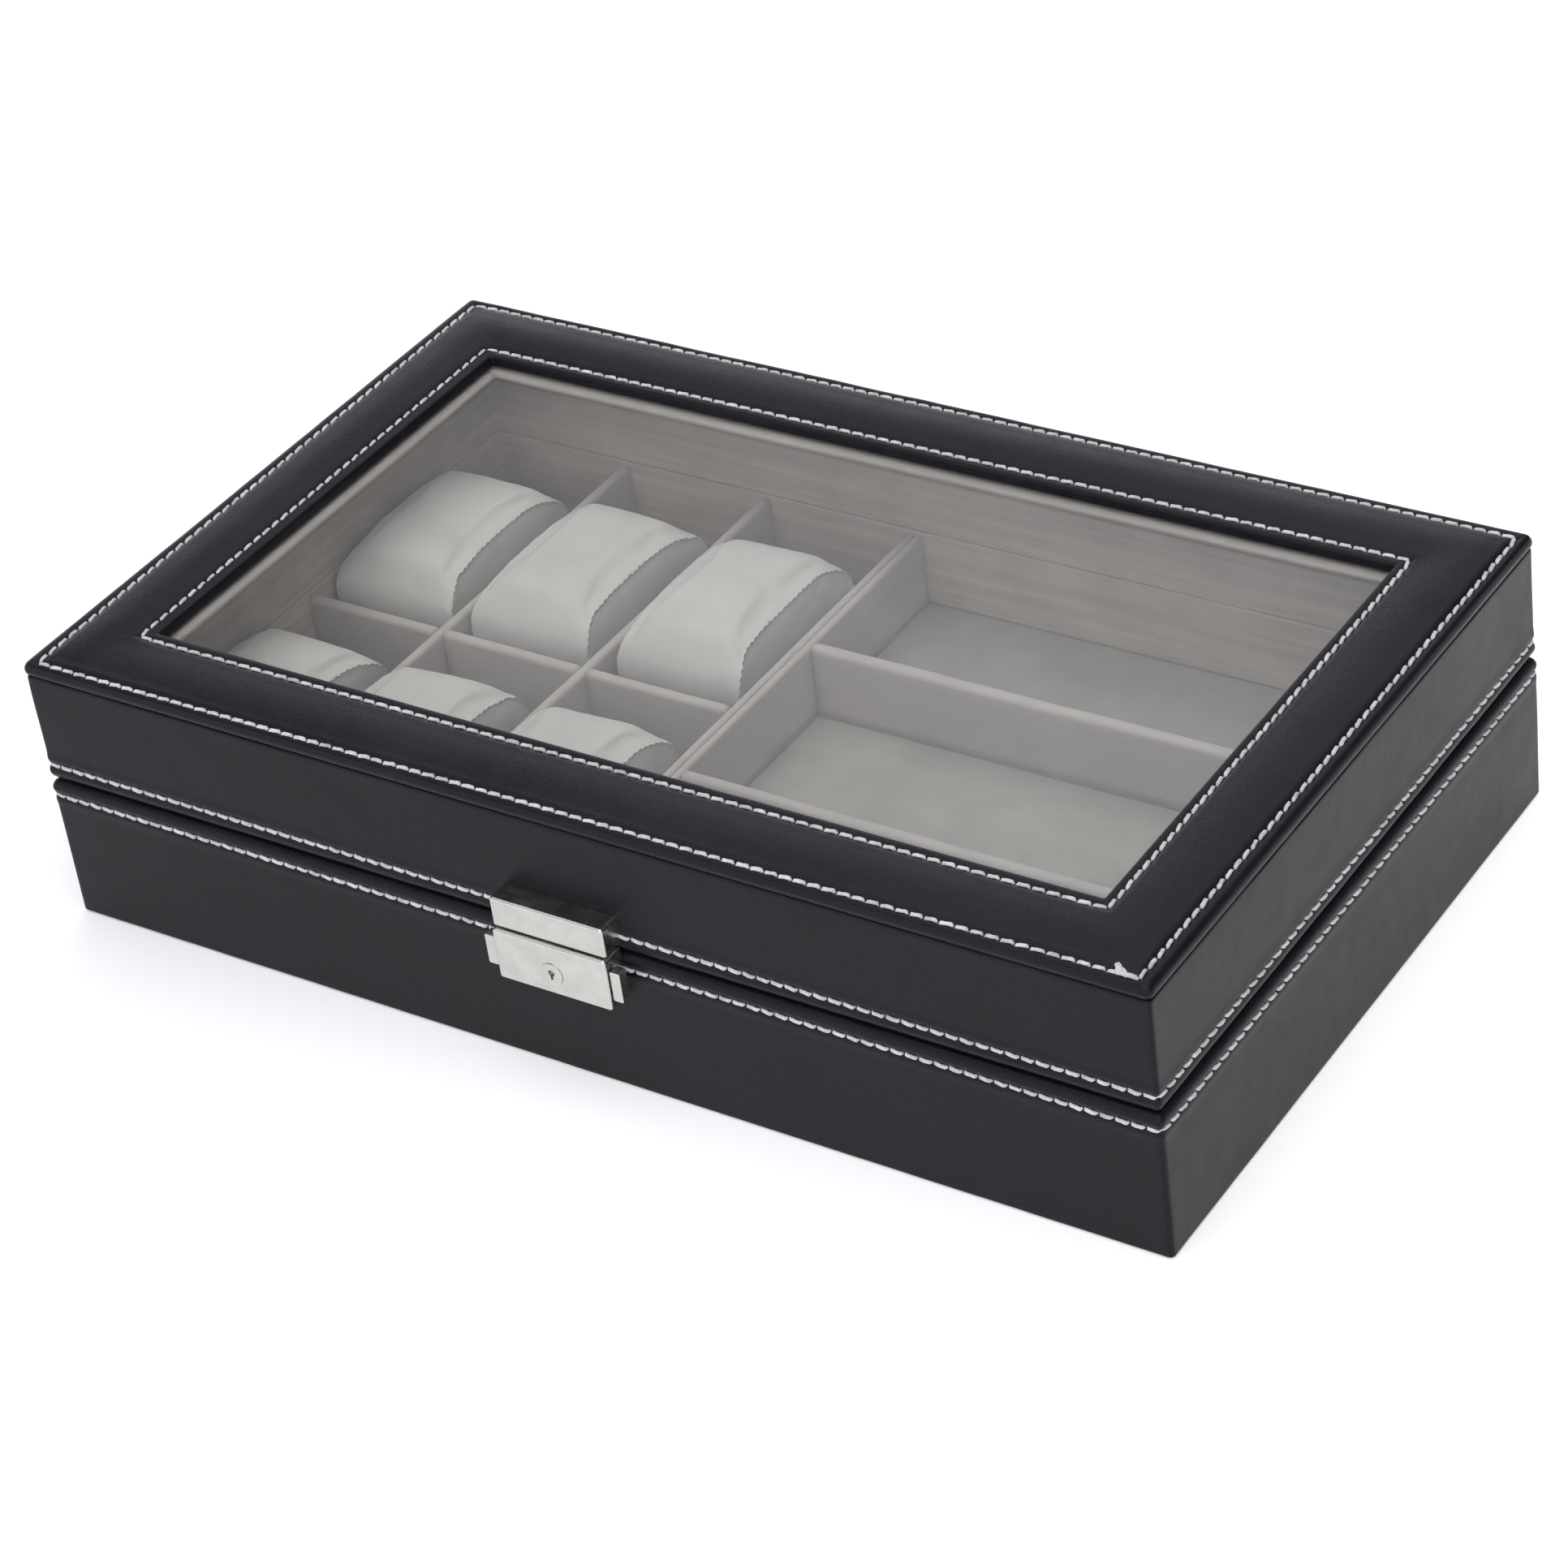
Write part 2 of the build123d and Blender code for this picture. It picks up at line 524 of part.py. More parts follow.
# countersunk screws, vertical in the rims
with BuildPart() as hinge_screws_base:
    for hx in (-hinge_x, hinge_x):
        for dx in leaf_screw_x:
            with BuildSketch(Plane.XZ.offset(-leaf_screw_y)):
                with BuildLine():
                    x0 = hx + dx
                    zt = base_rim_z - 0.05
                    Polyline((x0, zt), (x0 + 1.75, zt), (x0 + leaf_screw_r - 0.02, zt - 0.78),
                             (x0 + leaf_screw_r - 0.02, zt - 7.6), (x0, zt - 8.6), close=True)
                make_face()
            revolve(axis=Axis((x0, leaf_screw_y, 0), (0, 0, 1)))
keep(hinge_screws_base, "hinge_screws_base")

with BuildPart() as hinge_screws_lid:
    for hx in (-hinge_x, hinge_x):
        for dx in leaf_screw_x:
            with BuildSketch(Plane.XZ.offset(-leaf_screw_y)):
                with BuildLine():
                    x0 = hx + dx
                    zt = lid_rim_z + 0.05
                    Polyline((x0, zt), (x0 + 1.75, zt), (x0 + leaf_screw_r - 0.02, zt + 0.78),
                             (x0 + leaf_screw_r - 0.02, zt + 7.6), (x0, zt + 8.6), close=True)
                make_face()
            revolve(axis=Axis((x0, leaf_screw_y, 0), (0, 0, 1)))
keep(hinge_screws_lid, "hinge_screws_lid")

# ============================================================================= catch
catch_mid = (catch_z0 + catch_z1) / 2
catch_h = catch_z1 - catch_z0
with BuildPart() as catch_back_plate:
    with BuildSketch(Plane.XZ.offset(depth / 2)):
        with Locations((0, (catch_z0 + 1.1 + base_rim_z - 1.0) / 2)):
            RectangleRounded(catch_w - 2 * catch_wall - 0.3, base_rim_z - 1.0 - catch_z0 - 1.1, 0.8)
        with Locations((-catch_screw_x, catch_screw_z), (catch_screw_x, catch_screw_z)):
            Circle(1.0, mode=Mode.SUBTRACT)
    extrude(amount=0.8)
keep(catch_back_plate, "catch_back_plate")

# housing: a shallow cap, open at the back, with a slot on top for the hook, a slot in
# each side for the wings of the slider and a round hole for the key plug
with BuildPart() as catch_housing:
    with BuildSketch(Plane.XZ.offset(depth / 2 + 0.05)):
        with Locations((0, catch_mid)):
            RectangleRounded(catch_w, catch_h, 0.9)
    extrude(amount=-catch_front - depth / 2 - 0.05)
    fillet(catch_housing.faces().sort_by(Axis.Y)[0].edges(), 0.8)
    with BuildSketch(Plane.XZ.offset(depth / 2 - 1)):
        with Locations((0, catch_mid)):
            RectangleRounded(catch_w - 2 * catch_wall, catch_h - 2 * catch_wall, 0.5)
    extrude(amount=-catch_front - catch_wall - depth / 2 + 1, mode=Mode.SUBTRACT)
    # hook slot
    with BuildSketch(Plane.XY.offset(catch_z1 - 3)):
        with Locations((0, (hook_y0 + hook_y1) / 2)):
            Rectangle(14.0, hook_y1 - hook_y0 + 1.0)
    extrude(amount=6, mode=Mode.SUBTRACT)
    # wing slots
    with BuildSketch(Plane.YZ.offset(-catch_w)):
        with Locations(((slider_y0 + slider_y1) / 2, (slider_z0 - slider_travel + slider_z1) / 2)):
            Rectangle(slider_y1 - slider_y0 + 0.4, slider_z1 - slider_z0 + slider_travel + 0.4)
    extrude(amount=2 * catch_w, mode=Mode.SUBTRACT)
    # plug hole
    with BuildSketch(Plane.XZ.offset(depth / 2)):
        with Locations((0, plug_z)):
            Circle(plug_r + plug_play)
    extrude(amount=10, mode=Mode.SUBTRACT)
keep(catch_housing, "catch_housing")

# slider: one plate across the housing with a window round the plug and a wing outside
# each side slot
arm_x = catch_w / 2 + 0.6
with BuildPart() as catch_slider:
    with BuildSketch(Plane.XZ.offset(-slider_y1)):
        with Locations((0, (slider_z0 + slider_z1) / 2)):
            Rectangle(2 * arm_x, slider_z1 - slider_z0)
        with Locations((0, slider_z1 + 1.0)):
            Rectangle(24.0, 3.0)
    extrude(amount=slider_y1 - slider_y0)
    for s in (-1, 1):
        with BuildSketch(Plane.XZ.offset(103.2)):
            with Locations((s * (wing_x0 + wing_x1) / 2, (wing_z0 + wing_z1) / 2)):
                RectangleRounded(wing_x1 - wing_x0, wing_z1 - wing_z0, 0.4)
        extrude(amount=2.8)
keep(catch_slider, "catch_slider")

# two return springs under the slider
spring_r, spring_wire, spring_z0 = 1.1, 0.18, catch_z0 + catch_wall + 0.22
with BuildPart() as catch_springs:
    for s in (-1, 1):
        with BuildLine():
            coil = Helix(pitch=1.05, height=4.2, radius=spring_r, center=(s * 13.4, (slider_y0 + slider_y1) / 2, spring_z0))
        with BuildSketch(Plane(origin=coil @ 0, z_dir=coil % 0)):
            Circle(spring_wire)
        sweep(path=coil, is_frenet=True)
keep(catch_springs, "catch_springs")

# key plug with a keyhole, and its cam behind the front wall
with BuildPart() as key_plug:
    with BuildSketch(Plane.XZ.offset(105.9)):
        with Locations((0, plug_z)):
            Circle(plug_r)
    extrude(amount=1.3)
    with BuildSketch(Plane.XZ.offset(105.9)):
        with Locations((0, plug_z + 0.4)):
            Circle(0.95)
        with Locations((0, plug_z - 0.7)):
            Rectangle(0.8, 1.8)
    extrude(amount=2, mode=Mode.SUBTRACT)
    with BuildSketch(Plane.XZ.offset(104.95)):
        with Locations((0, plug_z)):
            Circle(2.4)
        with Locations((0, plug_z - 2.6)):
            Rectangle(2.2, 4.0)
    extrude(amount=0.95)
keep(key_plug, "key_plug")

with BuildPart() as catch_screws:
    for s in (-1, 1):
        with BuildSketch(Plane.XZ.offset(depth / 2 - 5.8)):
            with Locations((s * catch_screw_x, catch_screw_z)):
                Circle(0.88)
        extrude(amount=6.7)
        with BuildSketch(Plane.XZ.offset(depth / 2 + 0.8)):
            with Locations((s * catch_screw_x, catch_screw_z)):
                Circle(1.9)
        extrude(amount=0.9)
    chamfer(catch_screws.faces().group_by(Axis.Y)[0].edges(), 0.3)
keep(catch_screws, "catch_screws")

# plate on the lid: a shallow cap in line with the housing, and the steel hook behind it
with BuildPart() as lid_catch_plate:
    with BuildSketch(Plane.XZ.offset(lid_y)):
        with Locations((0, (plate_z0 + plate_z1) / 2)):
            RectangleRounded(catch_w, plate_z1 - plate_z0, 0.9)
    extrude(amount=-plate_front - lid_y)
    fillet(lid_catch_plate.faces().sort_by(Axis.Y)[0].edges(), 0.8)
    with BuildSketch(Plane.XZ.offset(lid_y - 1)):
        with Locations((0, (plate_z0 + plate_z1) / 2)):
            Rectangle(catch_w - 2 * catch_wall, plate_z1 - plate_z0 - 2 * catch_wall)
    extrude(amount=-plate_front - catch_wall - lid_y + 1, mode=Mode.SUBTRACT)
    with BuildSketch(Plane.XY.offset(plate_z0 - 1)):
        with Locations((0, (hook_y0 + hook_y1) / 2)):
            Rectangle(13.0, hook_y1 - hook_y0 + 0.6)
    extrude(amount=3, mode=Mode.SUBTRACT)
keep(lid_catch_plate, "lid_catch_plate")

with BuildPart() as catch_hook:
    # foot on the lid
    with BuildSketch(Plane.XZ.offset(lid_y)):
        with Locations((0, 50.2)):
            RectangleRounded(24.0, 4.0, 0.8)
        with Locations((-9.5, 50.2), (9.5, 50.2)):
            Circle(1.0, mode=Mode.SUBTRACT)
    extrude(amount=1.0)
    # shelf and tongue
    with BuildSketch(Plane.XY.offset(48.4)):
        with Locations((0, (hook_y0 - lid_y) / 2)):
            Rectangle(12.0, -hook_y0 - lid_y)
    extrude(amount=1.4)
    with BuildSketch(Plane.XZ.offset(-hook_y1)):
        with Locations((0, (hook_tip_z + 49.8) / 2)):
            RectangleRounded(12.0, 49.8 - hook_tip_z, 0.8)
        with Locations((0, hook_tip_z + 3.4)):
            Rectangle(7.0, 3.2, mode=Mode.SUBTRACT)
    extrude(amount=hook_y1 - hook_y0)
keep(catch_hook, "catch_hook")

with BuildPart() as hook_screws:
    for s in (-1, 1):
        with BuildSketch(Plane.XZ.offset(lid_y - 6.0)):
            with Locations((s * 9.5, 50.2)):
                Circle(0.88)
        extrude(amount=7.1)
        with BuildSketch(Plane.XZ.offset(lid_y + 1.0)):
            with Locations((s * 9.5, 50.2)):
                Circle(1.8)
        extrude(amount=0.9)
    chamfer(hook_screws.faces().group_by(Axis.Y)[0].edges(), 0.3)
keep(hook_screws, "hook_screws")

print(len(made), "nodes")
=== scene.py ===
import json
import math

import bmesh
import bpy
import numpy as np
from mathutils import Matrix, Vector
from mathutils.kdtree import KDTree

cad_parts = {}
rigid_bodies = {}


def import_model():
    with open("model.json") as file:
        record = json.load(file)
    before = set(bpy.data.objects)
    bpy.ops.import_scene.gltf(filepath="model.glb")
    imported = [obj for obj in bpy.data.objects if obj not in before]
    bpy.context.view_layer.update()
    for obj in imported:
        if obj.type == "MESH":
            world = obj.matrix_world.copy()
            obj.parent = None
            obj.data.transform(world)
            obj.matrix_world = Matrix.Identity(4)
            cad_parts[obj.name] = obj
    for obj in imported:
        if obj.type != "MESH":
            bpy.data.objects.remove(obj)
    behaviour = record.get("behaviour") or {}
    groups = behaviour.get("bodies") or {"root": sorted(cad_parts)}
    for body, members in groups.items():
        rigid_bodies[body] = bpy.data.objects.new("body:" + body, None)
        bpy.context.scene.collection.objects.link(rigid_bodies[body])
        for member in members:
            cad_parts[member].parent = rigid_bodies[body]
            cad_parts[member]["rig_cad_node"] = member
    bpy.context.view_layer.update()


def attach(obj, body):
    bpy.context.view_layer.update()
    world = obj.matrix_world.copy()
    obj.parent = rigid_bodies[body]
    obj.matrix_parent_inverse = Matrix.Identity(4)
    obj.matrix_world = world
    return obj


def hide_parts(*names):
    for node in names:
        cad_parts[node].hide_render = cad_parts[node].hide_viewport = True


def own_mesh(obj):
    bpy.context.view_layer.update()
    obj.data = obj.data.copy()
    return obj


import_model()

MM = 0.001
scene = bpy.context.scene

# ------------------------------------------------------------------ sizes, millimetres
HALF_X, HALF_Y = 165.0, 100.0
TOP_Z = 80.0
BASE_RIM, LID_RIM = 43.0, 43.3
INNER_X, INNER_Y = 155.0, 90.0
BOARD_IN_X, BOARD_IN_Y = 156.2, 91.2
WINDOW_X, WINDOW_Y = 139.5, 74.5
FLOOR_Z = 20.0
DIVIDER_TOP = 42.0
HINGE_X = 105.0
THREAD_R = 0.50
PITCH = 4.0

rng = np.random.default_rng(20417)


# ============================================================================ helpers
def make_object(name, verts, faces, body, material, replaces=(), slot=None, smooth=True):
    """A mesh object from points in millimetres, riding on a body."""
    mesh = bpy.data.meshes.new(name)
    mesh.from_pydata((np.asarray(verts, float) * MM).tolist(), [], [list(map(int, f)) for f in faces])
    mesh.validate()
    mesh.polygons.foreach_set("use_smooth", [smooth] * len(mesh.polygons))
    obj = bpy.data.objects.new(name, mesh)
    scene.collection.objects.link(obj)
    if material is not None:
        mesh.materials.append(material)
    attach(obj, body)
    if replaces:
        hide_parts(*replaces)
    return obj


def value_noise(points, scale, seed=0):
    """Smooth noise from -1 to 1 at points in millimetres; scale is the size of a cell."""
    p = np.asarray(points, float) / scale + seed * 17.31 + 1000.0
    i = np.floor(p).astype(np.int64)
    f = p - i
    f = f * f * f * (f * (f * 6 - 15) + 10)
    out = np.zeros(len(p))
    for dx in (0, 1):
        for dy in (0, 1):
            for dz in (0, 1):
                h = (i[:, 0] + dx) * 73856093 ^ (i[:, 1] + dy) * 19349663 ^ (i[:, 2] + dz) * 83492791 ^ (seed * 2654435 + 97)
                h = (h ^ (h >> 13)) * 1274126177
                h = (h ^ (h >> 16)) & 0xFFFF
                w = (f[:, 0] if dx else 1 - f[:, 0]) * (f[:, 1] if dy else 1 - f[:, 1]) * (f[:, 2] if dz else 1 - f[:, 2])
                out += w * (h / 32767.5 - 1.0)
    return out


def smooth_step(x, a, b):
    t = np.clip((x - a) / (b - a), 0, 1)
    return t * t * (3 - 2 * t)


def arc(cx, cz, r, a0, a1, n):
    """Points of an arc in a section, from angle a0 to a1 in degrees, ends included."""
    return [(cx + r * math.cos(math.radians(a0 + (a1 - a0) * k / n)), cz + r * math.sin(math.radians(a0 + (a1 - a0) * k / n))) for k in range(n + 1)]


def stops(half, step, extra=()):
    n = max(1, round(half / step))
    found = np.concatenate([np.linspace(-half, half, 2 * n + 1), [e for e in extra], [-e for e in extra]])
    found = np.unique(np.round(found, 4))
    keep = [found[0]]
    hard = set(np.round([*extra, *[-e for e in extra], half, -half], 4).tolist())
    for v in found[1:]:
        if v - keep[-1] < 0.12 and v not in hard:
            continue
        if v - keep[-1] < 0.12 and v in hard and keep[-1] not in hard:
            keep[-1] = v
            continue
        keep.append(v)
    return np.array(keep)


def ring(hx, hy, r, fixed_x, fixed_y, n_end, n_arc):
    """Points round a rounded rectangle, counter-clockwise from the front left corner."""
    def run(e, fixed):
        tail = np.linspace(fixed[-1], e, n_end + 1)[1:]
        return np.concatenate([-tail[::-1], fixed, tail])

    ex, ey = hx - r, hy - r
    xs, ys = run(ex, fixed_x), run(ey, fixed_y)
    a = np.radians(np.linspace(0, 90, n_arc + 1)[1:-1])
    parts = [
        np.c_[xs, np.full(len(xs), -hy)],
        np.c_[ex + r * np.sin(a), -ey - r * np.cos(a)],
        np.c_[np.full(len(ys), hx), ys],
        np.c_[ex + r * np.cos(a), ey + r * np.sin(a)],
        np.c_[xs[::-1], np.full(len(xs), hy)],
        np.c_[-ex - r * np.sin(a), ey + r * np.cos(a)],
        np.c_[np.full(len(ys), -hx), ys[::-1]],
        np.c_[-ex - r * np.cos(a), -ey - r * np.sin(a)],
    ]
    return np.concatenate(parts)


def sweep_ring(rows, fixed_x, fixed_y, n_end, n_arc, hx=HALF_X, hy=HALF_Y):
    """A closed skin: each row is (distance in from the outline, height, corner radius)."""
    grid = []
    for d, z, r in rows:
        p = ring(hx - d, hy - d, max(r, 0.05), fixed_x, fixed_y, n_end, n_arc)
        grid.append(np.c_[p, np.full(len(p), z)])
    return np.array(grid)


def grid_normals(grid):
    """Outward normals of a grid that is closed both ways."""
    du = np.roll(grid, -1, 1) - np.roll(grid, 1, 1)
    dv = np.roll(grid, -1, 0) - np.roll(grid, 1, 0)
    n = np.cross(du, dv)
    length = np.linalg.norm(n, axis=2, keepdims=True)
    n = n / np.maximum(length, 1e-12)
    return n


def volume(verts, faces):
    a, b, c, d = (verts[faces[:, k]] for k in range(4))
    return float((np.einsum("ij,ij->i", a, np.cross(b, c)) + np.einsum("ij,ij->i", a, np.cross(c, d))).sum() / 6)


def grid_faces(m, n):
    i, j = np.meshgrid(np.arange(m), np.arange(n), indexing="ij")
    i2, j2 = (i + 1) % m, (j + 1) % n
    return np.stack([i * n + j, i * n + j2, i2 * n + j2, i2 * n + j], -1).reshape(-1, 4)


def closed_grid(grid):
    m, n, _ = grid.shape
    verts, faces = grid.reshape(-1, 3), grid_faces(m, n)
    if volume(verts, faces) < 0:
        faces = faces[:, ::-1]
    return verts, faces


def outward(grid):
    """Normals that point out of the skin."""
    verts, faces = grid.reshape(-1, 3), grid_faces(*grid.shape[:2])
    return grid_normals(grid) * (1.0 if volume(verts, faces) > 0 else -1.0)


# ========================================================================== materials
def nodes_of(name):
    m = bpy.data.materials.new(name)
    m.use_nodes = True
    tree = m.node_tree
    tree.nodes.clear()
    out = tree.nodes.new("ShaderNodeOutputMaterial")
    return m, tree, out


def add(tree, kind, **values):
    node = tree.nodes.new(kind)
    inputs = values.pop("inputs", {})
    for k, v in values.items():
        setattr(node, k, v)
    for k, v in inputs.items():
        node.inputs[k].default_value = v
    return node


def link(tree, a, b):
    tree.links.new(a, b)


def stretched(tree, scale, rotation=(0, 0, 0)):
    co = add(tree, "ShaderNodeTexCoord")
    mapping = add(tree, "ShaderNodeMapping")
    mapping.inputs["Scale"].default_value = scale
    mapping.inputs["Rotation"].default_value = rotation
    link(tree, co.outputs["Object"], mapping.inputs["Vector"])
    return mapping.outputs["Vector"]


def noise(tree, vector, scale, detail=3.0, rough=0.55, distortion=0.0):
    n = add(tree, "ShaderNodeTexNoise", inputs={"Scale": scale, "Detail": detail, "Roughness": rough, "Distortion": distortion})
    link(tree, vector, n.inputs["Vector"])
    return n.outputs["Fac"]


def ramp(tree, value, stops_list):
    r = add(tree, "ShaderNodeValToRGB")
    e = r.color_ramp.elements
    while len(e) < len(stops_list):
        e.new(0.5)
    for k, (pos, colour) in enumerate(stops_list):
        e[k].position = pos
        e[k].color = (*colour, 1.0) if len(colour) == 3 else colour
    link(tree, value, r.inputs["Fac"])
    return r.outputs["Color"]


def remap(tree, value, a, b, lo, hi, clamp=True):
    r = add(tree, "ShaderNodeMapRange", inputs={"From Min": a, "From Max": b, "To Min": lo, "To Max": hi})
    r.clamp = clamp
    link(tree, value, r.inputs["Value"])
    return r.outputs["Result"]


def math_node(tree, op, a, b):
    n = add(tree, "ShaderNodeMath", operation=op)
    for k, v in enumerate((a, b)):
        if isinstance(v, (int, float)):
            n.inputs[k].default_value = v
        else:
            link(tree, v, n.inputs[k])
    return n.outputs["Value"]


def bump(tree, height, strength, distance, normal=None):
    b = add(tree, "ShaderNodeBump", inputs={"Strength": strength, "Distance": distance})
    link(tree, height, b.inputs["Height"])
    if normal is not None:
        link(tree, normal, b.inputs["Normal"])
    return b.outputs["Normal"]


def principled(tree, out, **inputs):
    b = add(tree, "ShaderNodeBsdfPrincipled")
    for k, v in inputs.items():
        b.inputs[k.replace("_", " ")].default_value = v
    link(tree, b.outputs["BSDF"], out.inputs["Surface"])
    return b


def leather_material():
    """Smooth black coated cloth with a fine pebble grain."""
    m, t, out = nodes_of("black_leather")
    b = principled(t, out, IOR=1.5)
    b.inputs["Specular IOR Level"].default_value = 0.16
    b.inputs["Specular Tint"].default_value = (0.95, 0.95, 1.0, 1.0)
    co = stretched(t, (1, 1, 1))
    warp = add(t, "ShaderNodeTexNoise", inputs={"Scale": 420.0, "Detail": 2.0})
    link(t, co, warp.inputs["Vector"])
    shift = add(t, "ShaderNodeVectorMath", operation="SCALE")
    link(t, warp.outputs["Color"], shift.inputs[0])
    shift.inputs["Scale"].default_value = 0.0009
    moved = add(t, "ShaderNodeVectorMath", operation="ADD")
    link(t, co, moved.inputs[0])
    link(t, shift.outputs["Vector"], moved.inputs[1])
    cells = add(t, "ShaderNodeTexVoronoi", feature="DISTANCE_TO_EDGE", inputs={"Scale": 1250.0, "Randomness": 1.0})
    link(t, moved.outputs["Vector"], cells.inputs["Vector"])
    pebble = remap(t, cells.outputs["Distance"], 0.0, 0.22, 0.0, 1.0)
    pores = noise(t, co, 5200.0, 2.0)
    slow = noise(t, co, 26.0, 3.0, 0.5)
    mid = noise(t, co, 140.0, 3.0, 0.6)
    height = math_node(t, "ADD", math_node(t, "MULTIPLY", pebble, 0.75), math_node(t, "MULTIPLY", pores, 0.25))
    n1 = bump(t, slow, 0.18, 0.0012)
    n2 = bump(t, mid, 0.10, 0.0004, n1)
    n3 = bump(t, height, 0.30, 0.00010, n2)
    link(t, n3, b.inputs["Normal"])
    colour = ramp(t, math_node(t, "ADD", math_node(t, "MULTIPLY", slow, 0.6), math_node(t, "MULTIPLY", mid, 0.4)),
                  [(0.30, (0.0052, 0.0050, 0.0068)), (0.70, (0.0088, 0.0085, 0.0112))])
    # painted shade in the grain's hollows: the base colour is darkened along the pebbles' edges, where the grain is
    # lowest
    dark = add(t, "ShaderNodeMix", data_type="RGBA", blend_type="MULTIPLY")
    dark.inputs[0].default_value = 1.0
    link(t, colour, dark.inputs[6])
    link(t, ramp(t, pebble, [(0.0, (0.72, 0.72, 0.72)), (0.6, (1.0, 1.0, 1.0))]), dark.inputs[7])
    link(t, dark.outputs[2], b.inputs["Base Color"])
    rough = math_node(t, "ADD", remap(t, slow, 0.3, 0.7, 0.29, 0.36), remap(t, mid, 0.3, 0.7, -0.02, 0.05))
    link(t, rough, b.inputs["Roughness"])
    return m


def velvet_material(name, light, dark, streak=(14, 14, 520), sheen=0.35, sheen_tint=(0.9, 0.89, 0.87), streak_amount=0.5, fibre_scale=2600.0):
    """Short-pile lining cloth. The streaks run level on walls."""
    m, t, out = nodes_of(name)
    b = principled(t, out, Roughness=0.92)
    b.inputs["Specular IOR Level"].default_value = 0.12
    b.inputs["Sheen Weight"].default_value = sheen
    b.inputs["Sheen Roughness"].default_value = 0.45
    b.inputs["Sheen Tint"].default_value = (*sheen_tint, 1.0)
    lines = noise(t, stretched(t, streak), 1.0, 3.0, 0.6)
    co = stretched(t, (1, 1, 1))
    fibre = noise(t, co, fibre_scale, 3.0, 0.7)
    cloud = noise(t, co, 55.0, 4.0, 0.6)
    mix = math_node(t, "ADD", math_node(t, "MULTIPLY", lines, streak_amount), math_node(t, "MULTIPLY", cloud, 1.0 - streak_amount))
    mix2 = math_node(t, "ADD", math_node(t, "MULTIPLY", mix, 0.72), math_node(t, "MULTIPLY", fibre, 0.28))
    link(t, ramp(t, mix2, [(0.33, dark), (0.66, light)]), b.inputs["Base Color"])
    n1 = bump(t, lines, 0.30, 0.00022)
    n2 = bump(t, cloud, 0.22, 0.0005, n1)
    n3 = bump(t, fibre, 0.32, 0.00008, n2)
    link(t, n3, b.inputs["Normal"])
    link(t, remap(t, cloud, 0.3, 0.7, 0.86, 0.97), b.inputs["Roughness"])
    return m


def thread_material():
    m, t, out = nodes_of("white_thread")
    b = principled(t, out, Roughness=0.6)
    b.inputs["Specular IOR Level"].default_value = 0.35
    b.inputs["Sheen Weight"].default_value = 0.25
    b.inputs["Sheen Roughness"].default_value = 0.5
    co = stretched(t, (1, 1, 1))
    fuzz = noise(t, co, 6500.0, 3.0, 0.7)
    soil = noise(t, co, 210.0, 3.0, 0.6)
    mix = math_node(t, "ADD", math_node(t, "MULTIPLY", fuzz, 0.35), math_node(t, "MULTIPLY", soil, 0.65))
    link(t, ramp(t, mix, [(0.32, (0.30, 0.295, 0.30)), (0.62, (0.60, 0.595, 0.60))]), b.inputs["Base Color"])
    link(t, bump(t, fuzz, 0.5, 0.00012), b.inputs["Normal"])
    link(t, remap(t, soil, 0.3, 0.7, 0.52, 0.72), b.inputs["Roughness"])
    return m


def metal_material(name, light, dark, rough_low, rough_high, brush=(60, 900, 2600), bump_strength=0.12):
    m, t, out = nodes_of(name)
    b = principled(t, out, Metallic=1.0)
    lines = noise(t, stretched(t, brush), 1.0, 3.0, 0.65)
    co = stretched(t, (1, 1, 1))
    cloud = noise(t, co, 160.0, 4.0, 0.6)
    fine = noise(t, co, 3800.0, 2.0, 0.6)
    mix = math_node(t, "ADD", math_node(t, "MULTIPLY", cloud, 0.7), math_node(t, "MULTIPLY", lines, 0.3))
    link(t, ramp(t, mix, [(0.34, dark), (0.64, light)]), b.inputs["Base Color"])
    rough = math_node(t, "ADD", remap(t, cloud, 0.3, 0.7, rough_low, rough_high), remap(t, lines, 0.3, 0.7, -0.03, 0.04))
    link(t, rough, b.inputs["Roughness"])
    n1 = bump(t, lines, bump_strength, 0.00004)
    n2 = bump(t, fine, bump_strength * 0.8, 0.00003, n1)
    link(t, n2, b.inputs["Normal"])
    return m


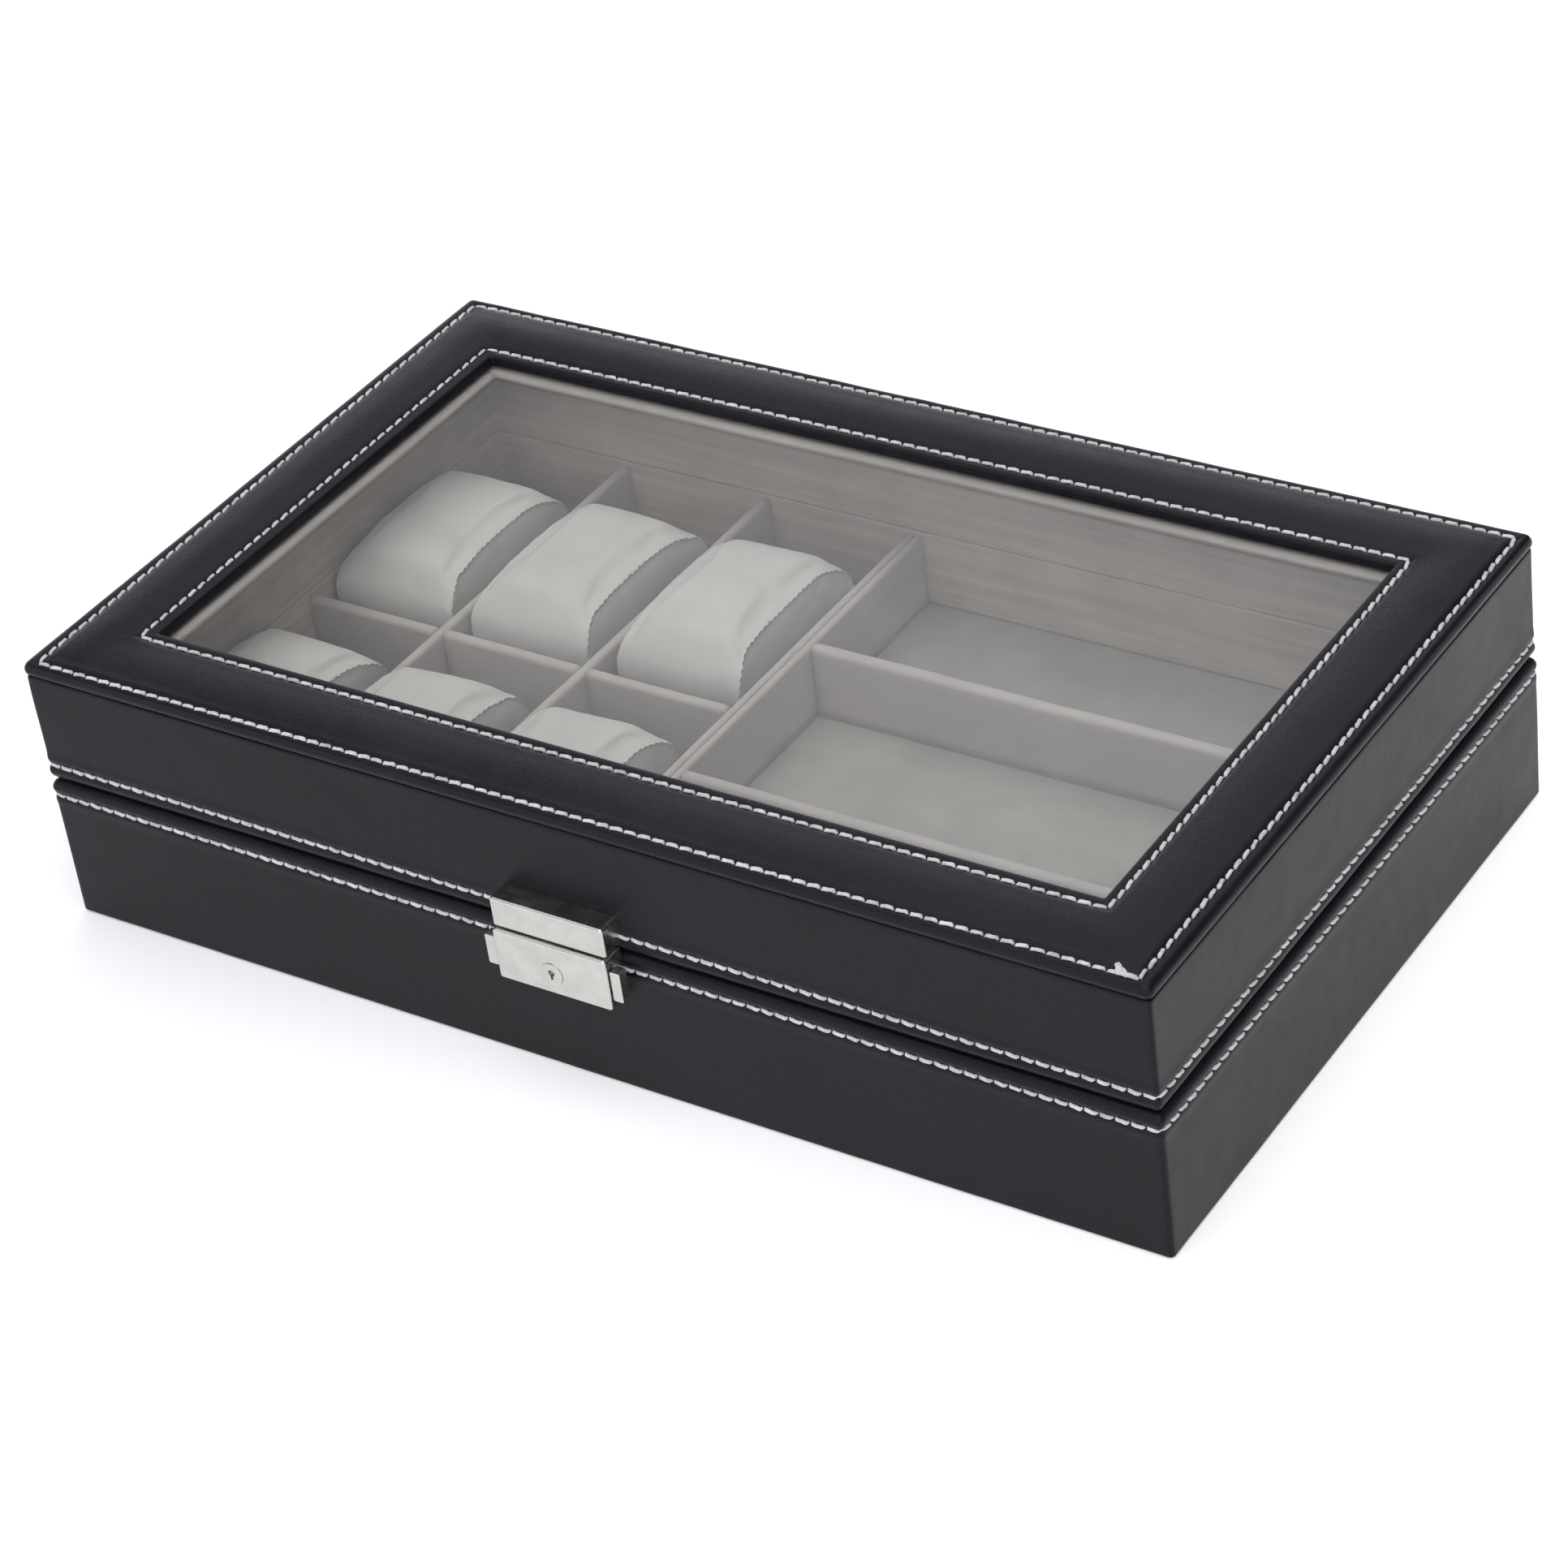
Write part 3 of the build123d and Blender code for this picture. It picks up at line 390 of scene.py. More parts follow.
def pane_material():
    """Clear pane: what is behind shows, with the gloss of its surface and a slight haze."""
    m, t, out = nodes_of("clear_pane")
    clear = add(t, "ShaderNodeBsdfTransparent")
    clear.inputs["Color"].default_value = (0.965, 0.965, 0.962, 1.0)
    gloss = add(t, "ShaderNodeBsdfPrincipled")
    gloss.inputs["Base Color"].default_value = (0.90, 0.91, 0.92, 1.0)
    gloss.inputs["Metallic"].default_value = 1.0
    co = stretched(t, (1, 1, 1))
    smear = noise(t, co, 32.0, 4.0, 0.6)
    dust = noise(t, co, 900.0, 3.0, 0.7)
    link(t, remap(t, smear, 0.35, 0.7, 0.03, 0.09), gloss.inputs["Roughness"])
    link(t, bump(t, smear, 0.02, 0.0002), gloss.inputs["Normal"])
    haze = add(t, "ShaderNodeBsdfDiffuse")
    haze.inputs["Color"].default_value = (0.86, 0.86, 0.88, 1.0)
    facing = add(t, "ShaderNodeLayerWeight", inputs={"Blend": 0.5})
    grazing = math_node(t, "POWER", facing.outputs["Facing"], 5.0)
    shine = add(t, "ShaderNodeMixShader")
    link(t, math_node(t, "ADD", math_node(t, "MULTIPLY", grazing, 0.92), 0.072), shine.inputs["Fac"])
    link(t, clear.outputs["BSDF"], shine.inputs[1])
    link(t, gloss.outputs["BSDF"], shine.inputs[2])
    film = add(t, "ShaderNodeMixShader")
    link(t, math_node(t, "ADD", remap(t, smear, 0.3, 0.75, 0.004, 0.018), remap(t, dust, 0.62, 0.8, 0.0, 0.03)), film.inputs["Fac"])
    link(t, shine.outputs["Shader"], film.inputs[1])
    link(t, haze.outputs["BSDF"], film.inputs[2])
    link(t, film.outputs["Shader"], out.inputs["Surface"])
    return m


def rough_material(name, light, dark, cell, grain, rough=(0.8, 0.95), bump_strength=0.5, distance=0.0002, specular=0.2, flakes=False):
    m, t, out = nodes_of(name)
    b = principled(t, out, Roughness=0.9)
    b.inputs["Specular IOR Level"].default_value = specular
    co = stretched(t, (1, 1, 1))
    big = noise(t, co, cell, 4.0, 0.65)
    small = noise(t, co, grain, 3.0, 0.7)
    if flakes:
        v = add(t, "ShaderNodeTexVoronoi", feature="F1", inputs={"Scale": grain * 0.35})
        link(t, co, v.inputs["Vector"])
        big = math_node(t, "ADD", math_node(t, "MULTIPLY", big, 0.55), math_node(t, "MULTIPLY", v.outputs["Distance"], 0.45))
    mix = math_node(t, "ADD", math_node(t, "MULTIPLY", big, 0.55), math_node(t, "MULTIPLY", small, 0.45))
    link(t, ramp(t, mix, [(0.34, dark), (0.64, light)]), b.inputs["Base Color"])
    n1 = bump(t, big, bump_strength * 0.5, distance * 2)
    link(t, bump(t, small, bump_strength, distance, n1), b.inputs["Normal"])
    link(t, remap(t, big, 0.3, 0.7, *rough), b.inputs["Roughness"])
    return m


LEATHER = leather_material()
WALL_VELVET = velvet_material("wall_velvet", (0.598, 0.529, 0.458), (0.356, 0.311, 0.267), streak=(10, 10, 300), streak_amount=0.60)
EDGE_VELVET = velvet_material("edge_velvet", (0.540, 0.505, 0.468), (0.430, 0.401, 0.371), streak=(16, 16, 300), streak_amount=0.40)
FLOOR_VELVET = velvet_material("floor_velvet", (0.385, 0.376, 0.336), (0.300, 0.293, 0.261), streak=(120, 120, 120), streak_amount=0.25)
DIVIDER_VELVET = velvet_material("divider_velvet", (0.528, 0.490, 0.456), (0.428, 0.395, 0.367), streak=(16, 16, 420), streak_amount=0.35, sheen=0.45)
PILLOW_VELVET = velvet_material("pillow_velvet", (0.662, 0.650, 0.608), (0.564, 0.553, 0.514), streak=(90, 90, 90), streak_amount=0.3, sheen=0.45, sheen_tint=(0.95, 0.95, 0.93))
THREAD = thread_material()
NICKEL = metal_material("satin_nickel", (0.62, 0.605, 0.575), (0.52, 0.508, 0.482), 0.20, 0.30)
STEEL = metal_material("zinc_steel", (0.66, 0.66, 0.65), (0.50, 0.50, 0.49), 0.30, 0.46, brush=(300, 300, 300))
SPRING = metal_material("spring_wire", (0.60, 0.60, 0.59), (0.44, 0.44, 0.43), 0.25, 0.40, brush=(900, 900, 900))
PANE = pane_material()
BOARD = rough_material("fibreboard", (0.30, 0.20, 0.12), (0.16, 0.10, 0.06), 90.0, 1400.0, flakes=True)
SHEET = rough_material("bottom_sheet", (0.020, 0.020, 0.021), (0.010, 0.010, 0.011), 60.0, 2200.0, bump_strength=0.7, distance=0.00025)
FOAM = rough_material("foam", (0.62, 0.61, 0.58), (0.44, 0.43, 0.40), 120.0, 1700.0, bump_strength=0.8, distance=0.0004)

CAD_LOOK = {
    "base_front_board": BOARD, "base_back_board": BOARD, "base_left_board": BOARD, "base_right_board": BOARD,
    "base_bottom_board": BOARD, "bottom_cover_sheet": SHEET, "floor_riser": FOAM,
    "lid_front_board": BOARD, "lid_back_board": BOARD, "lid_left_board": BOARD, "lid_right_board": BOARD,
    "top_frame_long_rails": BOARD, "top_frame_short_rails": BOARD, "lid_top_foam": FOAM,
    "window_pane": PANE,
    "hinge_base_leaf_left": NICKEL, "hinge_base_leaf_right": NICKEL, "hinge_lid_leaf_left": NICKEL, "hinge_lid_leaf_right": NICKEL,
    "hinge_pins": STEEL, "hinge_screws_base": STEEL, "hinge_screws_lid": STEEL,
    "catch_back_plate": STEEL, "catch_housing": NICKEL, "catch_slider": NICKEL, "key_plug": NICKEL,
    "catch_screws": STEEL, "lid_catch_plate": NICKEL, "catch_hook": STEEL, "hook_screws": STEEL,
}


def node_object(name):
    return next(o for o in bpy.data.objects if o.get("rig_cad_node") == name)


for cad_name, look in CAD_LOOK.items():
    part = node_object(cad_name)
    part.data.materials.clear()
    part.data.materials.append(look)

# ------------------------------------------- return springs, fixed coils of one length
SPRING_LOW = 31.42


def coil_springs(places_x, y, tall=4.2, radius=1.1, wire=0.18, turns=4.0, steps=96, n_round=10):
    """Wire springs standing on SPRING_LOW, one at each place."""
    verts, faces = [], []
    for x in places_x:
        first = len(verts)
        for k in range(steps + 1):
            angle = 2 * math.pi * turns * k / steps
            away = np.array([math.cos(angle), math.sin(angle), 0.0])
            middle = np.array([x, y, SPRING_LOW + tall * k / steps]) + radius * away
            for j in range(n_round):
                a = 2 * math.pi * j / n_round
                verts.append(middle + wire * (away * math.cos(a) + np.array([0, 0, 1.0]) * math.sin(a)))
        for k in range(steps):
            for j in range(n_round):
                here, there = first + k * n_round, first + (k + 1) * n_round
                faces.append((here + j, there + j, there + (j + 1) % n_round, here + (j + 1) % n_round))
        faces += [tuple(first + j for j in range(n_round)), tuple(first + steps * n_round + j for j in range(n_round))[::-1]]
    return verts, faces


springs = make_object("catch_return_springs", *coil_springs((-13.4, 13.4), -104.2), "base", SPRING, ("catch_springs",), "steel")
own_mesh(springs)


# =========================================================================== stitching
def row_path(hx, hy, r, z, n_arc=6):
    """Corner-to-corner runs of a stitch row: each is points from one corner's middle to the next."""
    ex, ey = hx - r, hy - r
    runs = []
    centres = [(ex, -ey, -90), (ex, ey, 0), (-ex, ey, 90), (-ex, -ey, 180)]
    for k in range(4):
        cx0, cy0, a0 = centres[k - 1]
        cx1, cy1, a1 = centres[k]
        first = [(cx0 + r * math.cos(math.radians(a0 + 45 + 45 * i / n_arc)), cy0 + r * math.sin(math.radians(a0 + 45 + 45 * i / n_arc))) for i in range(n_arc + 1)]
        last = [(cx1 + r * math.cos(math.radians(a1 + 45 * i / n_arc)), cy1 + r * math.sin(math.radians(a1 + 45 * i / n_arc))) for i in range(n_arc + 1)]
        p = np.array(first + last)
        runs.append(np.c_[p, np.full(len(p), z)])
    return runs


def along(points, s):
    seg = np.linalg.norm(np.diff(points, axis=0), axis=1)
    at = np.concatenate([[0], np.cumsum(seg)])
    s = np.atleast_1d(s)
    return np.stack([np.interp(s, at, points[:, k]) for k in range(3)], -1), at[-1]


def row_holes(hx, hy, r, z, pitch):
    """Needle holes of a row, run by run, with small unevenness in their spacing."""
    rows = []
    for p in row_path(hx, hy, r, z):
        total = along(p, 0)[1]
        n = round(total / pitch)
        s = np.linspace(0, total, n + 1)
        s[1:-1] += rng.normal(0, 0.10, n - 1)
        rows.append(along(p, s)[0])
    return rows


def stitch_tube(a, b, up, lean, radius, twist, sink=0.55):
    """One thread between two holes: it comes up, lies on the leather and goes down again."""
    along_dir = b - a
    length = np.linalg.norm(along_dir)
    t = along_dir / length
    side = np.cross(up, t)
    side /= np.linalg.norm(side)
    n_along, n_round = 13, 10
    u = np.linspace(0, 1, n_along)
    u = 0.5 - 0.5 * np.cos(np.pi * u) * (0.86 + 0.14 * np.abs(np.cos(np.pi * u)))
    reach = u * (length - 0.66) + 0.33
    rise = np.where(u < 0.5, smooth_step(u, 0.0, 0.17), smooth_step(1 - u, 0.0, 0.17))
    lift = -sink + (sink + 0.26) * rise
    across = lean * (2 * u - 1)
    centre = a + np.outer(reach, t) + np.outer(lift, up) + np.outer(across, side)
    slope = np.gradient(centre, axis=0)
    slope /= np.linalg.norm(slope, axis=1, keepdims=True)
    verts = []
    for k in range(n_along):
        tt = slope[k]
        nn = up - tt * (up @ tt)
        nn /= np.linalg.norm(nn)
        ss = np.cross(nn, tt)
        shrink = 0.80 + 0.20 * rise[k]
        for j in range(n_round):
            ang = 2 * math.pi * j / n_round
            ply = 1.0 + 0.11 * math.cos(3 * ang - 2 * math.pi * reach[k] / 2.3 + twist)
            verts.append(centre[k] + ss * (radius * 1.06 * shrink * ply * math.cos(ang)) + nn * (radius * 0.86 * shrink * ply * math.sin(ang)))
    faces = [(k * n_round + j, k * n_round + (j + 1) % n_round, (k + 1) * n_round + (j + 1) % n_round, (k + 1) * n_round + j) for k in range(n_along - 1) for j in range(n_round)]
    ends = [tuple(range(n_round))[::-1], tuple((n_along - 1) * n_round + j for j in range(n_round))]
    return verts, faces, ends


def stitching(name, rows, body, up_of, skip=lambda p: False, lean=0.20, depth=0.0):
    """All the threads of one row as one piece. Returns the holes it uses."""
    verts, faces = [], []
    used = []
    for holes in rows:
        for k in range(len(holes) - 1):
            a, b = holes[k], holes[k + 1]
            if skip((a + b) / 2):
                continue
            used += [a, b]
            up = up_of((a + b) / 2)
            v, f, ends = stitch_tube(a - up * depth, b - up * depth, up, lean + rng.normal(0, 0.05), THREAD_R * (1 + rng.normal(0, 0.05)), rng.uniform(0, 6.28))
            base = len(verts)
            verts += v
            faces += [tuple(base + i for i in q) for q in f]
            faces += [tuple(base + i for i in q) for q in ends]
    make_object(name, verts, faces, body, THREAD, slot="leather")
    return np.array(used)


def strand(points, radii, n_round=10, steps=5, seed=0.0):
    """A short loose thread through a few points, smooth between them, closed at both ends."""
    points, radii = np.array(points, float), np.array(radii, float)
    u = np.linspace(0, len(points) - 1, (len(points) - 1) * steps + 1)
    pad = np.concatenate([[2 * points[0] - points[1]], points, [2 * points[-1] - points[-2]]])
    centre = []
    for a in u:
        k = min(int(a), len(points) - 2)
        f = a - k
        p0, p1, p2, p3 = pad[k], pad[k + 1], pad[k + 2], pad[k + 3]
        centre.append(0.5 * (2 * p1 + (p2 - p0) * f + (2 * p0 - 5 * p1 + 4 * p2 - p3) * f * f + (3 * p1 - p0 - 3 * p2 + p3) * f ** 3))
    centre = np.array(centre)
    rr = np.interp(u, np.arange(len(points)), radii)
    slope = np.gradient(centre, axis=0)
    slope /= np.linalg.norm(slope, axis=1, keepdims=True)
    verts, guide = [], np.array([0.3, 0.2, 0.93])
    run = np.concatenate([[0], np.cumsum(np.linalg.norm(np.diff(centre, axis=0), axis=1))])
    for k in range(len(u)):
        n1 = guide - slope[k] * (guide @ slope[k])
        if np.linalg.norm(n1) < 0.2:
            guide = np.array([1.0, 0.1, 0.1])
            n1 = guide - slope[k] * (guide @ slope[k])
        n1 /= np.linalg.norm(n1)
        guide = n1
        n2 = np.cross(slope[k], n1)
        for j in range(n_round):
            ang = 2 * math.pi * j / n_round
            ply = 1.0 + 0.11 * math.cos(3 * ang - 2 * math.pi * run[k] / 2.3 + seed)
            verts.append(centre[k] + (n1 * math.cos(ang) + n2 * math.sin(ang)) * rr[k] * ply)
    m = len(u)
    faces = [(k * n_round + j, k * n_round + (j + 1) % n_round, (k + 1) * n_round + (j + 1) % n_round, (k + 1) * n_round + j) for k in range(m - 1) for j in range(n_round)]
    faces += [tuple(range(n_round))[::-1], tuple((m - 1) * n_round + j for j in range(n_round))]
    return verts, faces


def side_up(p):
    """Outward direction on the side walls, turned smoothly at the corners."""
    x, y = p[0], p[1]
    ox, oy = abs(x) - (HALF_X - 2.4), abs(y) - (HALF_Y - 2.4)
    if ox > 0 and oy > 0:
        v = np.array([math.copysign(ox, x), math.copysign(oy, y), 0.0])
    elif ox > oy:
        v = np.array([math.copysign(1.0, x), 0.0, 0.0])
    else:
        v = np.array([0.0, math.copysign(1.0, y), 0.0])
    return v / np.linalg.norm(v)


UP = np.array([0.0, 0.0, 1.0])
ROW_OUT, ROW_WIN = 3.3, 22.3
ROW_LID, ROW_BASE = 48.2, 38.7
BEHIND_CATCH = 17.6

# hand-fed rows: each wanders a little from its nominal rectangle, given at the four corners (front right, back right, back left, front left)
WANDER_OUT = ((-0.8, -0.7), (0.3, -0.5), (1.1, -0.5), (1.0, -1.3))
WANDER_WIN = ((-0.45, -0.1), (-0.45, -0.6), (-0.35, -0.6), (-0.35, -0.1))


def wander(p, corners):
    """How far a row is off its nominal line near each point, blended between the corners."""
    a, b = (p[:, 0] / HALF_X + 1) / 2, (p[:, 1] / HALF_Y + 1) / 2
    fr, br, bl, fl = (np.array(c) for c in corners)
    w = np.c_[a * (1 - b), a * b, (1 - a) * b, (1 - a) * (1 - b)]
    xy = w @ np.array([fr, br, bl, fl])
    return np.c_[xy, np.zeros(len(p))]


def wandered(rows, corners):
    return [h + wander(h, corners) for h in rows]


holes_out = wandered(row_holes(HALF_X - ROW_OUT, HALF_Y - ROW_OUT, 0.8, TOP_Z, PITCH), WANDER_OUT)
holes_win = wandered(row_holes(HALF_X - ROW_WIN, HALF_Y - ROW_WIN, 0.9, TOP_Z, PITCH), WANDER_WIN)
holes_lid = row_holes(HALF_X - 0.4, HALF_Y - 0.4, 1.3, ROW_LID, PITCH)
holes_base = row_holes(HALF_X, HALF_Y, 1.6, ROW_BASE, PITCH)


def under_catch(p):
    return abs(p[0]) < BEHIND_CATCH and p[1] < -90


SINK = 0.22
stitching("stitches_top_outer", holes_out, "lid", lambda p: UP, depth=SINK)
stitching("stitches_window", holes_win, "lid", lambda p: UP, depth=SINK)
stitching("stitches_lid_lower", holes_lid, "lid", side_up, skip=under_catch, lean=-0.20, depth=SINK)
stitching("stitches_base_upper", holes_base, "base", side_up, skip=under_catch, lean=-0.20, depth=SINK)


# the row starts and ends at the front right corner: a doubled thread with its tail left standing
tail_verts, tail_faces = [], []
for path, thick, twist in (
        ([(155.2, -97.3, 79.75), (156.2, -97.45, 80.3), (157.8, -97.55, 80.4), (159.5, -97.5, 80.3), (160.8, -97.35, 79.75)], [0.50, 0.66, 0.62, 0.58, 0.46], 0.4),
        ([(157.6, -97.0, 79.9), (156.6, -96.75, 80.4), (155.6, -97.0, 80.6), (155.6, -97.6, 80.4), (156.6, -97.6, 80.2)], [0.48, 0.66, 0.72, 0.66, 0.48], 1.9),
        ([(156.3, -97.3, 79.9), (155.9, -97.0, 80.6), (155.5, -96.75, 81.2), (155.2, -96.6, 81.75), (155.05, -96.5, 82.05)], [0.62, 0.78, 0.78, 0.72, 0.54], 3.1)):
    v, f = strand(path, thick, seed=twist)
    first = len(tail_verts)
    tail_verts += v
    tail_faces += [tuple(first + i for i in q) for q in f]
make_object("stitch_tail", tail_verts, tail_faces, "lid", THREAD, slot="leather")


def near_holes(points, rows):
    flat = np.concatenate(rows)
    tree = KDTree(len(flat))
    for k, p in enumerate(flat):
        tree.insert(p, k)
    tree.balance()
    return np.array([tree.find(p)[2] for p in points])


def pucker(points, across, rows, groove=0.24, hole=0.34, shoulder=0.13):
    """How far the leather sinks at a stitch row: across is the distance from the row's line."""
    h = np.zeros(len(points))
    close = np.abs(across) < 4.5
    if not close.any():
        return h
    dist = near_holes(points[close], rows)
    a = np.abs(across[close])
    sunk = -groove * np.exp(-(a / 0.75) ** 2) - hole * np.exp(-(dist / 0.55) ** 2)
    puff = shoulder * np.exp(-((a - 1.9) / 1.0) ** 2) * (0.7 + 0.3 * np.clip(dist / 2.0, 0, 1))
    h[close] = sunk + puff
    return h


# ============================================================================ leather
FX = stops(128.0, PITCH / 6, extra=(HINGE_X - 14.30, HINGE_X - 14.15, HINGE_X + 14.15, HINGE_X + 14.30))
FY = stops(64.0, PITCH / 6)
N_END, N_ARC = 40, 6


def with_radius(section, r_of):
    return [(d, z, r_of(d)) for d, z in section]


def in_recess(p):
    """1 where the hinge leaves lie, 0 outside."""
    off = np.abs(np.abs(p[:, 0]) - HINGE_X)
    return (1 - smooth_step(off, 14.18, 14.28)) * (p[:, 1] > 91.15)


# ---- top leather of the lid
outer = [(25.75, 77.15), (25.75, 77.6), (25.75, 78.3)]
outer += arc(24.85, 79.1, 0.9, 0, 90, 6)
outer += [(d, TOP_Z) for d in (24.4, 23.9, 23.3, 22.95, 22.6, 22.3, 22.0, 21.65, 21.3, 20.9, 20.4, 19.6, 18.4, 16.8, 14.8, 12.6, 10.4, 8.4, 7.0, 5.9, 5.2, 4.7, 4.3, 3.95, 3.6, 3.3, 3.0, 2.7, 2.4)]
outer += arc(2.1, 77.85, 2.15, 95, 212, 14)[1:]
outer += [(0.44, 76.58), (0.62, 76.44), (0.76, 76.28), (0.81, 76.0), (0.82, 75.7)]
inner = [(0.89, 75.7), (0.95, 78.0), (1.7, 78.9), (2.9, 79.15), (22.5, 79.2), (24.3, 79.0), (24.95, 78.5), (24.95, 77.15)]
n_outer = len(outer)
TOP_R = 2.0
grid = sweep_ring(with_radius(outer + inner, lambda d: max(TOP_R - 0.75 * d, 0.55)), FX, FY, N_END, N_ARC)
normals = outward(grid)
shape = grid.shape
skin = grid[:n_outer].reshape(-1, 3)
skin_n = normals[:n_outer].reshape(-1, 3)
d_of = np.minimum(HALF_X - np.abs(skin[:, 0]), HALF_Y - np.abs(skin[:, 1]))
at_out, at_win = skin - wander(skin, WANDER_OUT), skin - wander(skin, WANDER_WIN)
d_out = np.minimum(HALF_X - np.abs(at_out[:, 0]), HALF_Y - np.abs(at_out[:, 1]))
d_win = np.minimum(HALF_X - np.abs(at_win[:, 0]), HALF_Y - np.abs(at_win[:, 1]))
h = pucker(skin, d_out - ROW_OUT, holes_out, shoulder=0.16) * (skin[:, 2] > 79.2)
h += pucker(skin, d_win - ROW_WIN, holes_win, shoulder=0.10) * (skin[:, 2] > 79.2)
# the padding swells between the two rows, and eases round the corners
soft = 2.5
d_soft = -soft * np.log(np.exp(-(HALF_X - np.abs(at_out[:, 0])) / soft) + np.exp(-(HALF_Y - np.abs(at_out[:, 1])) / soft))
span = (ROW_WIN - ROW_OUT) / 2
front = smooth_step((HALF_X - np.abs(skin[:, 0])) - (HALF_Y - np.abs(skin[:, 1])), -14, 14) * (skin[:, 1] < 0)
h += (1.25 - 0.50 * front) * np.clip(1 - ((d_soft - ROW_OUT - span) / span) ** 2, 0, 1) * (skin[:, 2] > 79.2)
flat = smooth_step(d_of, 3.8, 7.5) * (1 - smooth_step(d_of, 17.0, 21.0)) * (skin[:, 2] > 79.0)
h += flat * (0.09 * value_noise(skin, 34.0, 3) + 0.04 * value_noise(skin, 13.0, 4))
roll = (d_of < 2.2) & (skin[:, 2] > 77.2)
h += np.where(roll, 0.06 * value_noise(skin, 18.0, 5) + 0.035 * value_noise(skin, 7.0, 6), 0.0)
h += 0.03 * value_noise(skin, 9.0, 7) * (d_of > 23.0)
skin = skin + skin_n * h[:, None]
grid = np.concatenate([skin.reshape(n_outer, shape[1], 3), grid[n_outer:]])
verts, faces = closed_grid(grid)
make_object("lid_top_leather_skin", verts, faces, "lid", LEATHER, ("lid_top_leather",), "leather")

# ---- side leather of the lid
outer = [(1.02, 75.98), (0.84, 75.98), (0.66, 75.92), (0.52, 75.76), (0.43, 75.48), (0.40, 75.05), (0.40, 74.2), (0.40, 72.5), (0.40, 70.0), (0.40, 67.0), (0.40, 64.0), (0.40, 61.0), (0.40, 58.0), (0.40, 55.5), (0.40, 53.5), (0.40, 52.2), (0.40, 51.2)]
outer += [(0.40, z) for z in (50.5, 50.0, 49.6, 49.25, 48.9, 48.55, 48.2, 47.85, 47.5, 47.15, 46.75, 46.3, 45.9)]
outer += arc(2.7, 45.6, 2.3, 180, 270, 9)
outer += [(3.6, 43.3), (5.0, 43.3), (6.6, 43.3), (8.0, 43.3), (8.7, 43.4)]
inner = [(8.75, 44.1), (6.5, 44.15), (4.0, 44.15), (2.4, 44.3), (1.35, 45.2), (1.2, 47.5), (1.2, 52.0), (1.2, 60.0), (1.2, 68.0), (1.15, 75.5)]
n_outer = len(outer)
LID_R = 1.25
grid = sweep_ring(with_radius(outer + inner, lambda d: max(LID_R - 0.6 * d, 0.4)), FX, FY, N_END, N_ARC)
normals = outward(grid)
shape = grid.shape
skin = grid[:n_outer].reshape(-1, 3)
skin_n = normals[:n_outer].reshape(-1, 3)
wall = np.abs(skin_n[:, 2]) < 0.8
h = pucker(skin, skin[:, 2] - ROW_LID, holes_lid, shoulder=0.15) * wall
h += np.exp(-((skin[:, 2] - 45.9) / 1.1) ** 2) * 0.22 * wall
middle = smooth_step(skin[:, 2], 50, 54) * (1 - smooth_step(skin[:, 2], 71, 75.5))
h += middle * (0.09 * value_noise(skin, 46.0, 11) + 0.04 * value_noise(skin, 17.0, 12))
h += 0.04 * value_noise(skin, 11.0, 13) * wall
skin = skin + skin_n * h[:, None]
cut = in_recess(skin)
skin[:, 2] = np.where(cut > 0, skin[:, 2] * (1 - cut) + np.maximum(skin[:, 2], 44.12) * cut, skin[:, 2])
back = grid[n_outer:].reshape(-1, 3).copy()
cut = in_recess(back)
back[:, 2] = np.where(cut > 0, back[:, 2] * (1 - cut) + np.maximum(back[:, 2], 44.7) * cut, back[:, 2])
grid = np.concatenate([skin.reshape(n_outer, shape[1], 3), back.reshape(-1, shape[1], 3)])
verts, faces = closed_grid(grid)
make_object("lid_side_leather_skin", verts, faces, "lid", LEATHER, ("lid_side_leather",), "leather")

# ---- leather of the base
outer = [(8.72, 42.85), (8.2, 43.0), (7.0, 43.0), (5.4, 43.0), (3.9, 43.0), (2.9, 43.0)]
outer += arc(2.1, 40.9, 2.1, 90, 180, 9)
outer += [(0.0, z) for z in (40.55, 40.2, 39.85, 39.5, 39.2, 38.95, 38.7, 38.45, 38.2, 37.9, 37.55, 37.15, 36.7, 36.1, 35.2, 33.8, 31.5, 28.5, 25.0, 21.0, 17.0, 13.0, 9.5, 6.5, 4.3, 3.0)]
outer += [(0.0, 2.2), (0.0, 1.5)]
outer += arc(0.6, 1.02, 0.6, 180, 270, 5)
outer += [(1.2, 0.42), (2.4, 0.42), (5.0, 0.42), (8.5, 0.42), (11.8, 0.44)]
inner = [(12.0, 1.15), (4.0, 1.2), (1.6, 1.25), (0.85, 2.0), (0.8, 38.0), (0.95, 41.0), (2.4, 42.2), (8.6, 42.2)]
n_outer = len(outer)
BASE_R = 1.4
grid = sweep_ring(with_radius(outer + inner, lambda d: max(BASE_R - 0.6 * d, 0.4)), FX, FY, N_END, N_ARC)
normals = outward(grid)
shape = grid.shape
skin = grid[:n_outer].reshape(-1, 3)
skin_n = normals[:n_outer].reshape(-1, 3)
wall = np.abs(skin_n[:, 2]) < 0.8
h = pucker(skin, skin[:, 2] - ROW_BASE, holes_base, shoulder=0.15) * wall
h += np.exp(-((skin[:, 2] - 40.6) / 0.9) ** 2) * 0.10 * wall
middle = smooth_step(skin[:, 2], 3, 10) * (1 - smooth_step(skin[:, 2], 31, 36))
h += middle * (0.10 * value_noise(skin, 52.0, 21) + 0.04 * value_noise(skin, 19.0, 22))
h += 0.035 * value_noise(skin, 11.0, 23) * wall
skin = skin + skin_n * h[:, None]
cut = in_recess(skin) * (skin[:, 2] > 30)
